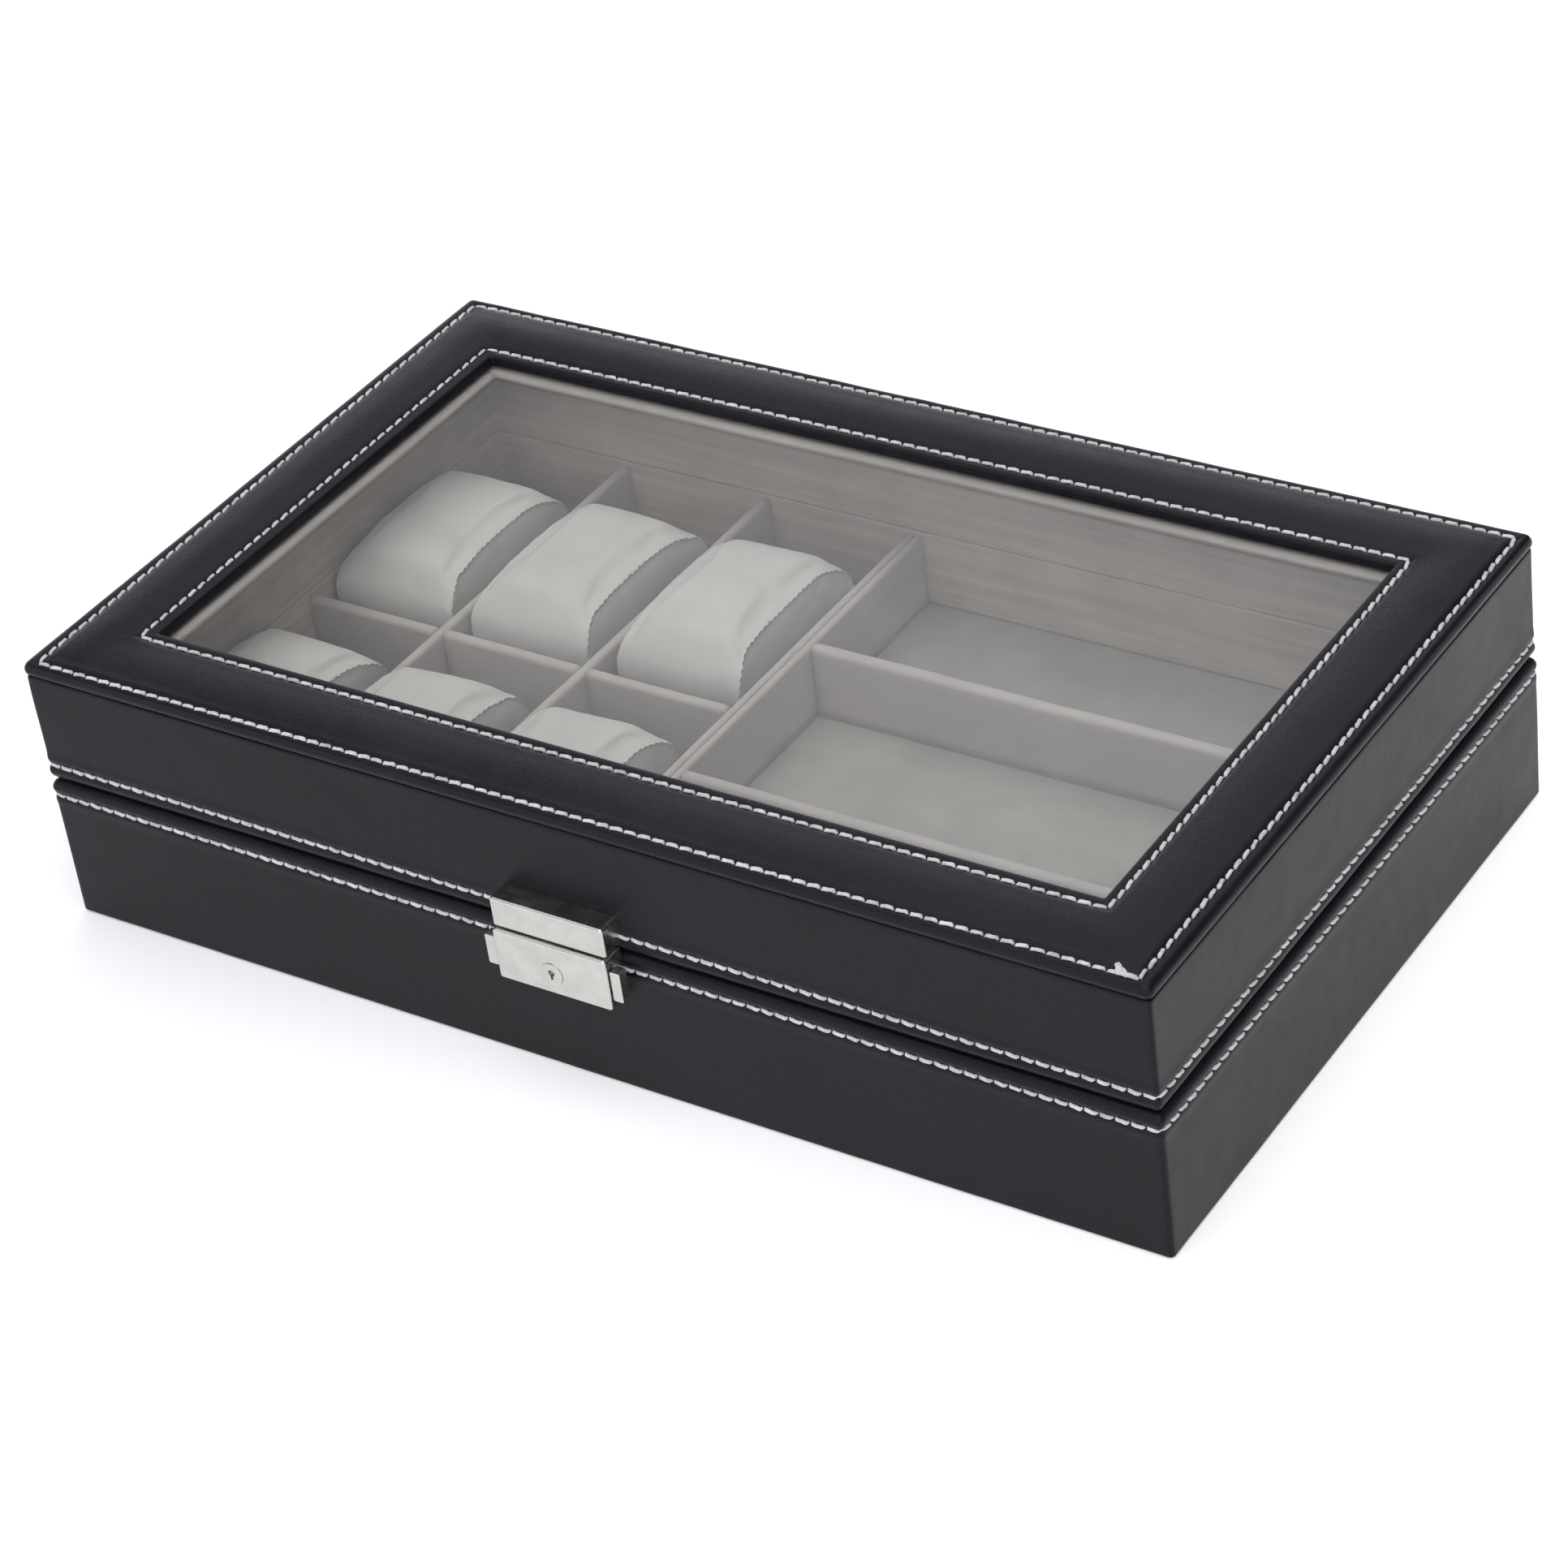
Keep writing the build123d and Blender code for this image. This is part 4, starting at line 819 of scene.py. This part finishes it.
skin[:, 2] = np.where(cut > 0, skin[:, 2] * (1 - cut) + np.minimum(skin[:, 2], 42.18) * cut, skin[:, 2])
back = grid[n_outer:].reshape(-1, 3).copy()
cut = in_recess(back) * (back[:, 2] > 30)
back[:, 2] = np.where(cut > 0, back[:, 2] * (1 - cut) + np.minimum(back[:, 2], 41.6) * cut, back[:, 2])
grid = np.concatenate([skin.reshape(n_outer, shape[1], 3), back.reshape(-1, shape[1], 3)])
verts, faces = closed_grid(grid)
make_object("base_leather_skin", verts, faces, "base", LEATHER, ("base_leather_wrap",), "leather")


# ============================================================================= lining
LX = stops(146.0, 2.4)
LY = stops(80.0, 2.4)


def lining_ring(name, section, body, node, seed, swell_mask):
    """A cloth-covered wall: the section goes up the outside, over the edge and down the inside."""
    grid = sweep_ring([(d, z, max(1.0 - 0.2 * (d - 8), 0.45)) for d, z in section], LX, LY, 6, 4)
    n = outward(grid)
    p, pn = grid.reshape(-1, 3), n.reshape(-1, 3)
    seen = swell_mask(p)
    h = seen * (0.07 * value_noise(p, 26.0, seed) + 0.035 * value_noise(p, 8.0, seed + 1) + 0.05)
    q = p + pn * h[:, None]
    verts, faces = closed_grid(q.reshape(grid.shape))
    return make_object(name, verts, faces, body, WALL_VELVET, (node,), "lining")


inside = lambda p: ((np.abs(p[:, 0]) < 155.4) & (np.abs(p[:, 1]) < 90.4)).astype(float)
section = [(8.86, 20.1), (8.86, 26.0), (8.86, 34.0), (8.86, 41.4), (8.88, 42.5), (8.98, 42.86), (9.2, 42.98), (9.6, 42.99), (9.85, 42.93), (9.97, 42.75), (10.0, 42.3), (10.0, 41.2)]
section += [(10.0, z) for z in (39.5, 37.0, 34.0, 31.0, 28.0, 25.0, 22.5, 20.9, 20.1)]
lining_ring("base_wall_velvet", section, "base", "base_wall_lining", 31, inside)
section = [(10.0, 73.5), (10.0, 72.4), (10.0, 70.5), (10.0, 68.0), (10.0, 65.0), (10.0, 62.0), (10.0, 59.0), (10.0, 56.0), (10.0, 53.0), (10.0, 50.0), (10.0, 47.5), (10.0, 45.2), (10.0, 44.0), (9.97, 43.58), (9.85, 43.38), (9.6, 43.32), (9.2, 43.33), (8.98, 43.45), (8.88, 43.9), (8.86, 45.0), (8.86, 52.0), (8.86, 60.0), (8.86, 68.0), (8.86, 73.5)]
lining_ring("lid_wall_velvet", section, "lid", "lid_wall_lining", 41, inside)


def soft_board(start, end, thick, z0, z1, r, seed, step=1.8, uneven=0.10):
    """Verts and faces of a cloth-wrapped board from start to end, rounded along the top."""
    start, end = np.array(start, float), np.array(end, float)
    run = end - start
    length = np.linalg.norm(run)
    t = run / length
    s = np.array([-t[1], t[0]])
    half = thick / 2
    levels = np.linspace(z0, z1 - r, 7)
    left = [(-half, z) for z in levels]
    top = [(math.cos(a) * r + (half - r), z1 - r + math.sin(a) * r) for a in np.linspace(0, math.pi / 2, 6)]
    top_l = [(-x, z) for x, z in top]
    section = left + top_l[1:] + top[::-1][(1 if half - r < 1e-6 else 0):] + [(half, z) for z in levels[::-1][1:]]
    section = np.array(section)
    n = max(4, round(length / step))
    u = np.linspace(0, length, n + 1)
    rings = []
    for k, a in enumerate(u):
        end_in = 0.22 * (1 - smooth_step(min(a, length - a), 0.0, 0.5))
        o = section[:, 0] * (1 - end_in / half)
        z = section[:, 1].copy()
        p = np.c_[start[0] + t[0] * a + s[0] * o, start[1] + t[1] * a + s[1] * o, z]
        rings.append(p)
    grid = np.array(rings)
    flat = grid.reshape(-1, 3)
    wob = value_noise(flat, 16.0, seed) * uneven + value_noise(flat, 5.0, seed + 1) * uneven * 0.35
    rise = smooth_step(flat[:, 2], z0 + 2, z1)
    o = np.tile(np.sign(section[:, 0]), len(u))
    flat = flat + np.c_[s[0] * o * wob, s[1] * o * wob, np.zeros(len(flat))]
    sway = value_noise(np.c_[flat[:, :2], np.zeros(len(flat))], 38.0, seed + 2) * uneven * 1.6 * rise
    flat = flat + np.c_[s[0] * sway, s[1] * sway, value_noise(np.c_[flat[:, :2], np.zeros(len(flat))], 21.0, seed + 3) * uneven * 0.9 * rise]
    m, c = len(u), len(section)
    faces = [(k * c + j, k * c + j + 1, (k + 1) * c + j + 1, (k + 1) * c + j) for k in range(m - 1) for j in range(c - 1)]
    faces += [(k * c + c - 1, k * c, (k + 1) * c, (k + 1) * c + c - 1) for k in range(m - 1)]
    ends = [tuple(range(c))[::-1], tuple((m - 1) * c + j for j in range(c))]
    return flat, faces + ends


def board_piece(name, boards, body, material, replaces, slot):
    verts, faces = [], []
    for v, f in boards:
        base = len(verts)
        verts += v.tolist()
        faces += [tuple(base + i for i in q) for q in f]
    obj = make_object(name, verts, faces, body, material, replaces, slot)
    clean = bmesh.new()
    clean.from_mesh(obj.data)
    bmesh.ops.recalc_face_normals(clean, faces=clean.faces)
    clean.to_mesh(obj.data)
    clean.free()
    return obj


COL_A, COL_B = -110.4, -63.3
GLASS_BACK, GLASS_FRONT = 33.5, -29.2
Z0 = FLOOR_Z - 0.05
board_piece("column_divider_1_cloth", [soft_board((COL_A, -89.9), (COL_A, 89.9), 3.0, Z0, DIVIDER_TOP, 1.35, 51)], "base", DIVIDER_VELVET, ("column_divider_1",), "divider_velvet")
board_piece("column_divider_2_cloth", [soft_board((COL_B, -89.9), (COL_B, 89.9), 3.0, Z0, DIVIDER_TOP, 1.35, 55)], "base", DIVIDER_VELVET, ("column_divider_2",), "divider_velvet")
board_piece("row_divider_cloth", [
    soft_board((-154.9, 0), (COL_A - 1.72, 0), 3.5, Z0, DIVIDER_TOP - 0.1, 1.55, 61),
    soft_board((COL_A + 1.72, 0), (COL_B - 1.72, 0), 3.5, Z0, DIVIDER_TOP - 0.1, 1.55, 65),
    soft_board((COL_B + 1.72, 0), (-17.6, 0), 3.5, Z0, DIVIDER_TOP - 0.1, 1.55, 69)], "base", DIVIDER_VELVET, ("row_divider",), "divider_velvet")
board_piece("main_divider_watch_cloth", [soft_board((-15.75, -89.9), (-15.75, 89.9), 2.35, Z0, DIVIDER_TOP, 1.10, 71, uneven=0.05)], "base", DIVIDER_VELVET, ("main_divider_watch_side",), "divider_velvet")
board_piece("main_divider_glasses_cloth", [soft_board((-13.25, -89.9), (-13.25, 89.9), 2.35, Z0, DIVIDER_TOP, 1.10, 75, uneven=0.05)], "base", DIVIDER_VELVET, ("main_divider_glasses_side",), "divider_velvet")
board_piece("glasses_divider_back_cloth", [soft_board((-11.85, GLASS_BACK), (154.9, GLASS_BACK), 4.0, Z0, DIVIDER_TOP, 1.75, 81)], "base", DIVIDER_VELVET, ("glasses_divider_back",), "divider_velvet")
board_piece("glasses_divider_front_cloth", [soft_board((-11.85, GLASS_FRONT), (154.9, GLASS_FRONT), 4.0, Z0, DIVIDER_TOP, 1.75, 85)], "base", DIVIDER_VELVET, ("glasses_divider_front",), "divider_velvet")


def cloth_sheet(name, hx, hy, z0, z1, step, body, material, replaces, slot, seed, r=1.2):
    """A flat cloth-covered card with a soft edge and a faintly uneven top."""
    xs = np.concatenate([-hx + r * (1 - np.cos(np.linspace(0, math.pi / 2, 5))[::-1])[::-1][::-1], np.linspace(-hx + r, hx - r, max(2, round(2 * hx / step)))[1:-1], hx - r * (1 - np.cos(np.linspace(0, math.pi / 2, 5))[::-1])[::-1]])
    xs = np.unique(np.round(np.concatenate([[-hx, -hx + 0.15 * r, -hx + 0.5 * r], np.linspace(-hx + r, hx - r, max(2, round(2 * hx / step))), [hx - 0.5 * r, hx - 0.15 * r, hx]]), 4))
    ys = np.unique(np.round(np.concatenate([[-hy, -hy + 0.15 * r, -hy + 0.5 * r], np.linspace(-hy + r, hy - r, max(2, round(2 * hy / step))), [hy - 0.5 * r, hy - 0.15 * r, hy]]), 4))
    gx, gy = np.meshgrid(xs, ys, indexing="ij")
    edge = np.minimum(hx - np.abs(gx), hy - np.abs(gy))
    drop = r - np.sqrt(np.maximum(r * r - np.maximum(r - edge, 0) ** 2, 0))
    flat = np.c_[gx.ravel(), gy.ravel(), np.zeros(gx.size)]
    lump = 0.05 * value_noise(flat, 24.0, seed) + 0.03 * value_noise(flat, 7.0, seed + 1)
    top = np.c_[gx.ravel(), gy.ravel(), np.maximum(z1 - 0.6 * drop.ravel() + lump, z0 + 0.3)]
    low = np.c_[gx.ravel(), gy.ravel(), np.full(gx.size, z0)]
    a, b = gx.shape
    idx = np.arange(a * b).reshape(a, b)
    up = [(idx[i, j], idx[i + 1, j], idx[i + 1, j + 1], idx[i, j + 1]) for i in range(a - 1) for j in range(b - 1)]
    down = [tuple(a * b + k for k in q[::-1]) for q in up]
    rim = list(idx[:, 0]) + list(idx[-1, 1:]) + list(idx[-2::-1, -1]) + list(idx[0, -2:0:-1])
    walls = [(rim[k], a * b + rim[k], a * b + rim[(k + 1) % len(rim)], rim[(k + 1) % len(rim)]) for k in range(len(rim))]
    obj = make_object(name, np.concatenate([top, low]), up + down + walls, body, material, replaces, slot)
    clean = bmesh.new()
    clean.from_mesh(obj.data)
    bmesh.ops.recalc_face_normals(clean, faces=clean.faces)
    clean.to_mesh(obj.data)
    clean.free()
    return obj


cloth_sheet("floor_velvet_card", 156.0, 91.0, 18.62, FLOOR_Z, 2.6, "base", FLOOR_VELVET, ("floor_lining",), "lining", 91)


# keeper strips under the pane: cloth-covered, rounded on the window side
def keeper(start, end, inward, width, seed):
    """A flat strip from start to end; inward is the direction of its rounded edge."""
    start, end, inward = np.array(start, float), np.array(end, float), np.array(inward, float)
    length = np.linalg.norm(end - start)
    t = (end - start) / length
    z0, z1, r = 73.65, 75.85, 1.05
    section = [(-width / 2, z1), (-width / 4, z1), (0, z1), (width / 4, z1), (width / 2 - r, z1)]
    section += [(width / 2 - r + r * math.cos(a), (z0 + z1) / 2 + (z1 - z0) / 2 * math.sin(a)) for a in np.linspace(math.pi / 2 * 0.8, -math.pi / 2 * 0.8, 9)]
    section += [(width / 2 - r, z0), (width / 4, z0), (0, z0), (-width / 4, z0), (-width / 2, z0)]
    section = np.array(section)
    n = max(4, round(length / 2.2))
    rings = []
    for a in np.linspace(0, length, n + 1):
        c = start + t * a
        rings.append(np.c_[c[0] + inward[0] * section[:, 0], c[1] + inward[1] * section[:, 0], section[:, 1]])
    grid = np.array(rings)
    flat = grid.reshape(-1, 3)
    o = np.tile(smooth_step(section[:, 0], width / 2 - 2 * r, width / 2), n + 1)
    w = value_noise(flat, 17.0, seed) * 0.12 + value_noise(flat, 6.0, seed + 1) * 0.05
    flat = flat + np.c_[inward[0] * o * w, inward[1] * o * w, np.zeros(len(flat))]
    m, c = n + 1, len(section)
    faces = [(k * c + j, k * c + (j + 1) % c, (k + 1) * c + (j + 1) % c, (k + 1) * c + j) for k in range(m - 1) for j in range(c)]
    faces += [tuple(range(c))[::-1], tuple((m - 1) * c + j for j in range(c))]
    return flat, faces


KX, KY = WINDOW_X - 1.8, WINDOW_Y - 1.8
kw_y, kw_x = (91.1 - KY), (156.1 - KX)
board_piece("pane_keeper_long_cloth", [
    keeper((-156.1, -(KY + kw_y / 2)), (156.1, -(KY + kw_y / 2)), (0, 1), kw_y, 101),
    keeper((-156.1, KY + kw_y / 2), (156.1, KY + kw_y / 2), (0, -1), kw_y, 105)], "lid", EDGE_VELVET, ("pane_keeper_long_strips",), "lining")
board_piece("pane_keeper_short_cloth", [
    keeper((-(KX + kw_x / 2), -KY + 0.1), (-(KX + kw_x / 2), KY - 0.1), (1, 0), kw_x, 111),
    keeper((KX + kw_x / 2, -KY + 0.1), (KX + kw_x / 2, KY - 0.1), (-1, 0), kw_x, 115)], "lid", EDGE_VELVET, ("pane_keeper_short_strips",), "lining")

# ============================================================================ pillows
PILLOW = {"w": 42.6, "l": 66.0, "h": 31.2, "z": FLOOR_Z + 0.2}
HALF_L, HALF_H, HALF_W = 31.5, 14.2, 20.0  # size before it is blown up
SIM_SCALE = 10.0  # cloth is stepped at ten times its size, where the solver is steady


def pillow_start(seed):
    """A plump bolster lying along X: a tube with two flat end caps, as quads, with its seam points."""
    half_l, half_h, half_w = HALF_L, HALF_H, HALF_W
    n_round, n_long, n_cap = 64, 20, 7
    local = np.random.default_rng(seed)
    power = 3.1
    ang = np.linspace(0, 2 * math.pi, n_round, endpoint=False)
    c, s = np.cos(ang), np.sin(ang)
    oval = np.c_[half_l * np.sign(c) * np.abs(c) ** (2 / power), half_h * np.sign(s) * np.abs(s) ** (2 / power)]
    step = np.linalg.norm(np.roll(oval, -1, 0) - oval, axis=1)
    at = np.concatenate([[0], np.cumsum(step)])
    want = np.linspace(0, at[-1], n_round, endpoint=False)
    closed = np.concatenate([oval, oval[:1]])
    oval = np.c_[np.interp(want, at, closed[:, 0]), np.interp(want, at, closed[:, 1])]
    verts, faces = [], []
    for k in range(n_long + 1):
        x = -half_w + 2 * half_w * k / n_long
        grow = 1.0 + 0.02 * math.sin(math.pi * k / n_long)
        for p in oval:
            verts.append((x, p[0] * grow, p[1] * grow))
    for k in range(n_long):
        for j in range(n_round):
            j2 = (j + 1) % n_round
            faces.append((k * n_round + j, k * n_round + j2, (k + 1) * n_round + j2, (k + 1) * n_round + j))
    seam = [j for j in range(n_round)] + [n_long * n_round + j for j in range(n_round)]
    for side, ring0 in ((-1, 0), (1, n_long * n_round)):
        previous = [ring0 + j for j in range(n_round)]
        for q in range(1, n_cap + 1):
            f = 1 - q / (n_cap + 0.6)
            now = []
            for j in range(n_round):
                now.append(len(verts))
                inset = min(1.0, q / 2.0)
                verts.append((side * (half_w + 0.35 * inset), oval[j, 0] * f, oval[j, 1] * (0.25 * f + 0.75 * f ** 0.9)))
            for j in range(n_round):
                j2 = (j + 1) % n_round
                quad = (previous[j], previous[j2], now[j2], now[j])
                faces.append(quad if side < 0 else quad[::-1])
            previous = now
        centre = len(verts)
        verts.append((side * (half_w + 0.35), 0.0, 0.0))
        for j in range(n_round):
            j2 = (j + 1) % n_round
            tri = (previous[j], previous[j2], centre)
            faces.append(tri if side < 0 else tri[::-1])
    verts = np.array(verts)
    verts += local.normal(0, 0.05, verts.shape)
    return verts, faces, seam


def simulate_pillows(starts):
    """Blows up all covers together with the cloth solver, one frame at a time."""
    made = []
    for k, (verts, faces, seam, pressure) in enumerate(starts):
        mesh = bpy.data.meshes.new("sim_%d" % k)
        spread = np.array([k * 1.2, 0, 0])
        mesh.from_pydata((verts * MM * SIM_SCALE + spread).tolist(), [], faces)
        obj = bpy.data.objects.new("sim_%d" % k, mesh)
        scene.collection.objects.link(obj)
        group = obj.vertex_groups.new(name="seam")
        group.add([int(i) for i in seam], 1.0, "REPLACE")
        cloth = obj.modifiers.new("cloth", "CLOTH")
        s = cloth.settings
        s.quality = 6
        s.mass = 0.3
        s.tension_stiffness = 25
        s.compression_stiffness = 14
        s.shear_stiffness = 8
        s.bending_stiffness = 1.2
        s.use_pressure = True
        s.uniform_pressure_force = pressure
        s.effector_weights.gravity = 0.0
        s.shrink_min = 0.0
        s.shrink_max = 0.10
        s.vertex_group_shrink = "seam"
        s.air_damping = 3.0
        cloth.collision_settings.use_collision = False
        cloth.collision_settings.use_self_collision = False
        cloth.point_cache.frame_start = 1
        cloth.point_cache.frame_end = 20
        made.append((obj, spread))
    for f in range(1, 21):
        scene.frame_set(f)
    graph = bpy.context.evaluated_depsgraph_get()
    found = []
    for (obj, spread), (verts, faces, seam, pressure) in zip(made, starts):
        result = bpy.data.meshes.new_from_object(obj.evaluated_get(graph))
        co = np.zeros(len(result.vertices) * 3)
        result.vertices.foreach_get("co", co)
        co = (co.reshape(-1, 3) - spread) / MM / SIM_SCALE
        move = co - verts
        far = np.linalg.norm(move, axis=1, keepdims=True)
        move *= np.minimum(1.0, 2.6 / np.maximum(far, 1e-9))
        found.append(verts + move)
        bpy.data.meshes.remove(result)
        mesh = obj.data
        bpy.data.objects.remove(obj)
        bpy.data.meshes.remove(mesh)
    scene.frame_set(1)
    return found


spots = [(x, y) for y in (37.0, -48.5) for x in (-INNER_X + (COL_A + INNER_X - 1.5) / 2, (COL_A + COL_B) / 2, (COL_B + 1.5 - 17.0) / 2)]
turns = [0.8, -1.2, 0.5, -0.7, 1.1, -0.4]
starts = []
for k in range(6):
    v, f, seam = pillow_start(300 + k)
    starts.append((v, f, seam, 3.6 + 0.25 * (k % 3)))
blown = simulate_pillows(starts)

for k, (px, py) in enumerate(spots):
    v = blown[k].copy()
    faces, seam = starts[k][1], starts[k][2]
    name = "pillow_%d_cushion" % (k + 1)
    mesh = bpy.data.meshes.new(name)
    mesh.from_pydata((v * MM).tolist(), [], faces)
    temp = bpy.data.objects.new("temp", mesh)
    scene.collection.objects.link(temp)
    marks = mesh.attributes.new("seam", "FLOAT", "POINT")
    line = np.zeros(len(v), np.float32)
    line[seam] = 1.0
    marks.data.foreach_set("value", line)
    sub = temp.modifiers.new("sub", "SUBSURF")
    sub.levels = sub.render_levels = 1
    sub.subdivision_type = "CATMULL_CLARK"
    dense = bpy.data.meshes.new_from_object(temp.evaluated_get(bpy.context.evaluated_depsgraph_get()))
    n = len(dense.vertices)
    co = np.zeros(n * 3)
    dense.vertices.foreach_get("co", co)
    co = co.reshape(-1, 3) / MM
    no = np.zeros(n * 3)
    dense.vertices.foreach_get("normal", no)
    no = no.reshape(-1, 3)
    on_seam = v[seam]
    tree = KDTree(len(on_seam))
    for i, p in enumerate(on_seam):
        tree.insert(p, i)
    tree.balance()
    dist = np.array([tree.find(p)[2] for p in co])
    ang = np.arctan2(co[:, 2] / HALF_H, co[:, 1] / HALF_L)
    # sewn edge: a groove with gathers running out of it
    gather = np.sin(ang * 23 + 2.1 * np.sin(ang * 3 + k)) * 0.5 + np.sin(ang * 37 + k * 1.7) * 0.3
    local = np.random.default_rng(900 + k)
    push = -0.42 * np.exp(-(dist / 0.75) ** 2) + 0.16 * np.exp(-((dist - 1.9) / 0.9) ** 2)
    push += 0.11 * gather * np.exp(-((dist - 1.6) / 2.2) ** 2)
    push += 0.22 * value_noise(co + k * 53, 13.0, 130 + k) + 0.09 * value_noise(co + k * 31, 5.5, 150 + k)
    # a soft crease or two across the crown
    fold = math.radians(local.uniform(-14, 14))
    line_y = co[:, 1] * math.cos(fold) + co[:, 0] * math.sin(fold) - local.uniform(-12, 12)
    push += -0.16 * np.exp(-(line_y / 2.0) ** 2) * smooth_step(co[:, 2], 5, 12)
    co = co + no * push[:, None]
    # it rests flat on the floor
    low = -PILLOW["h"] / 2 + 0.15
    under = co[:, 2] < low + 2.2
    co[:, 2] = np.where(under, np.maximum(co[:, 2], low + 0.16 * (co[:, 2] - (low + 2.2)) * 0 + 0.0), co[:, 2])
    co[:, 0] = np.clip(co[:, 0], -21.05, 21.05)
    turn = math.radians(turns[k])
    rot = np.array([[math.cos(turn), -math.sin(turn), 0], [math.sin(turn), math.cos(turn), 0], [0, 0, 1]])
    co = co @ rot.T
    co[:, 0] = np.clip(co[:, 0], -21.28, 21.28)
    lift = PILLOW["z"] + PILLOW["h"] / 2
    co = co + np.array([px, py, lift])
    dense.vertices.foreach_set("co", (co * MM).ravel())
    dense.polygons.foreach_set("use_smooth", [True] * len(dense.polygons))
    bpy.data.objects.remove(temp)
    bpy.data.meshes.remove(mesh)
    dense.name = name
    dense.materials.clear()
    dense.materials.append(PILLOW_VELVET)
    dense.update()
    cushion = bpy.data.objects.new(name, dense)
    scene.collection.objects.link(cushion)
    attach(cushion, "pillow_%d" % (k + 1))
    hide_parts("pillow_cover_%d" % (k + 1), "pillow_core_%d" % (k + 1))

# ======================================================================= camera, light
cam_data = bpy.data.cameras.new("camera")
cam_data.lens = 104.125
cam_data.sensor_width = 36.0
cam_data.clip_start, cam_data.clip_end = 0.05, 60.0
camera = bpy.data.objects.new("camera", cam_data)
scene.collection.objects.link(camera)
right = Vector((0.8383362353, 0.5326876794, -0.1159145925))
up = Vector((-0.2318026787, 0.5407629630, 0.8086055503))
backward = Vector((0.4934165325, -0.6510140199, 0.5768196176))
place = Vector((0.5806016708, -0.7697652234, 0.7033733193))
camera.matrix_world = Matrix(((right.x, up.x, backward.x, place.x), (right.y, up.y, backward.y, place.y), (right.z, up.z, backward.z, place.z), (0, 0, 0, 1)))
scene.camera = camera

floor_mesh = bpy.data.meshes.new("floor")
floor_mesh.from_pydata([(-15, -15, 0), (15, -15, 0), (15, 15, 0), (-15, 15, 0)], [], [(0, 1, 2, 3)])
floor = bpy.data.objects.new("floor", floor_mesh)
scene.collection.objects.link(floor)
fm, ft, fo = nodes_of("floor_white_painted_glow")
fb = principled(ft, fo, Roughness=0.95)
fb.inputs["Base Color"].default_value = (0.80, 0.80, 0.80, 1.0)
fb.inputs["Specular IOR Level"].default_value = 0.0
# painted light: the floor glows, more strongly towards the right rear, so the floor seen in the leather's reflections
# is lighter on the right and the box's shadow on it is washed out
fb.inputs["Emission Color"].default_value = (1.0, 1.0, 1.0, 1.0)
sweep = add(ft, "ShaderNodeVectorMath", operation="DOT_PRODUCT")
link(ft, stretched(ft, (1, 1, 1)), sweep.inputs[0])
sweep.inputs[1].default_value = (0.80, 0.60, 0.0)
link(ft, remap(ft, sweep.outputs["Value"], -0.25, 0.30, 0.15, 0.50), fb.inputs["Emission Strength"])
floor_mesh.materials.append(fm)

# soft studio surround: brightest overhead, calmer towards the horizon, dark at the right rear
world = bpy.data.worlds.new("studio")
scene.world = world
world.use_nodes = True
wt = world.node_tree
wt.nodes.clear()
wo = wt.nodes.new("ShaderNodeOutputWorld")
bg = wt.nodes.new("ShaderNodeBackground")
sky = wt.nodes.new("ShaderNodeTexCoord")
split = wt.nodes.new("ShaderNodeSeparateXYZ")
link(wt, sky.outputs["Generated"], split.inputs[0])
glow = ramp(wt, split.outputs["Z"], [(0.0, (0.735, 0.75, 0.80)), (0.20, (0.785, 0.80, 0.85)), (0.36, (0.62, 0.632, 0.68)), (0.46, (0.385, 0.395, 0.43)), (0.55, (0.32, 0.33, 0.36)), (0.64, (0.37, 0.38, 0.41)), (0.74, (0.74, 0.75, 0.79)), (1.0, (0.86, 0.86, 0.87))])
away = add(wt, "ShaderNodeVectorMath", operation="DOT_PRODUCT")
link(wt, sky.outputs["Generated"], away.inputs[0])
away.inputs[1].default_value = (0.72, 0.69, 0.0)
shade = remap(wt, away.outputs["Value"], 0.30, 0.70, 1.0, 0.10)
dim = add(wt, "ShaderNodeMix", data_type="RGBA", blend_type="MULTIPLY")
dim.inputs[0].default_value = 1.0
link(wt, glow, dim.inputs[6])
grey = add(wt, "ShaderNodeCombineColor")
side = remap(wt, split.outputs["X"], -0.66, -0.46, 0.97, 0.0)
band = remap(wt, split.outputs["Z"], 0.24, 0.42, 0.0, 1.0)
both = math_node(wt, "MULTIPLY", shade, math_node(wt, "SUBTRACT", 1.0, math_node(wt, "MULTIPLY", side, band)))
for k in range(3):
    link(wt, both, grey.inputs[k])
link(wt, grey.outputs["Color"], dim.inputs[7])
link(wt, dim.outputs[2], bg.inputs["Color"])
bg.inputs["Strength"].default_value = 2.08
wt.links.new(bg.outputs["Background"], wo.inputs["Surface"])


def area(name, place, target, size, power, colour=(1, 1, 1)):
    data = bpy.data.lights.new(name, "AREA")
    data.shape = "RECTANGLE"
    data.size, data.size_y = size
    data.energy = power
    data.color = colour
    obj = bpy.data.objects.new(name, data)
    scene.collection.objects.link(obj)
    obj.location = place
    obj.rotation_mode = "QUATERNION"
    obj.rotation_quaternion = (Vector(target) - Vector(place)).to_track_quat("-Z", "Y")
    return obj


area("top_soft", (0.3, 0.0, 2.3), (0, 0, 0), (2.2, 2.0), 7.0)
area("front_soft", (0.8, -1.75, 1.65), (0, 0, 0.05), (1.6, 1.2), 10.0)

scene.view_settings.view_transform = "Standard"
scene.view_settings.look = "None"
scene.view_settings.exposure = 0.0
scene.view_settings.gamma = 1.0
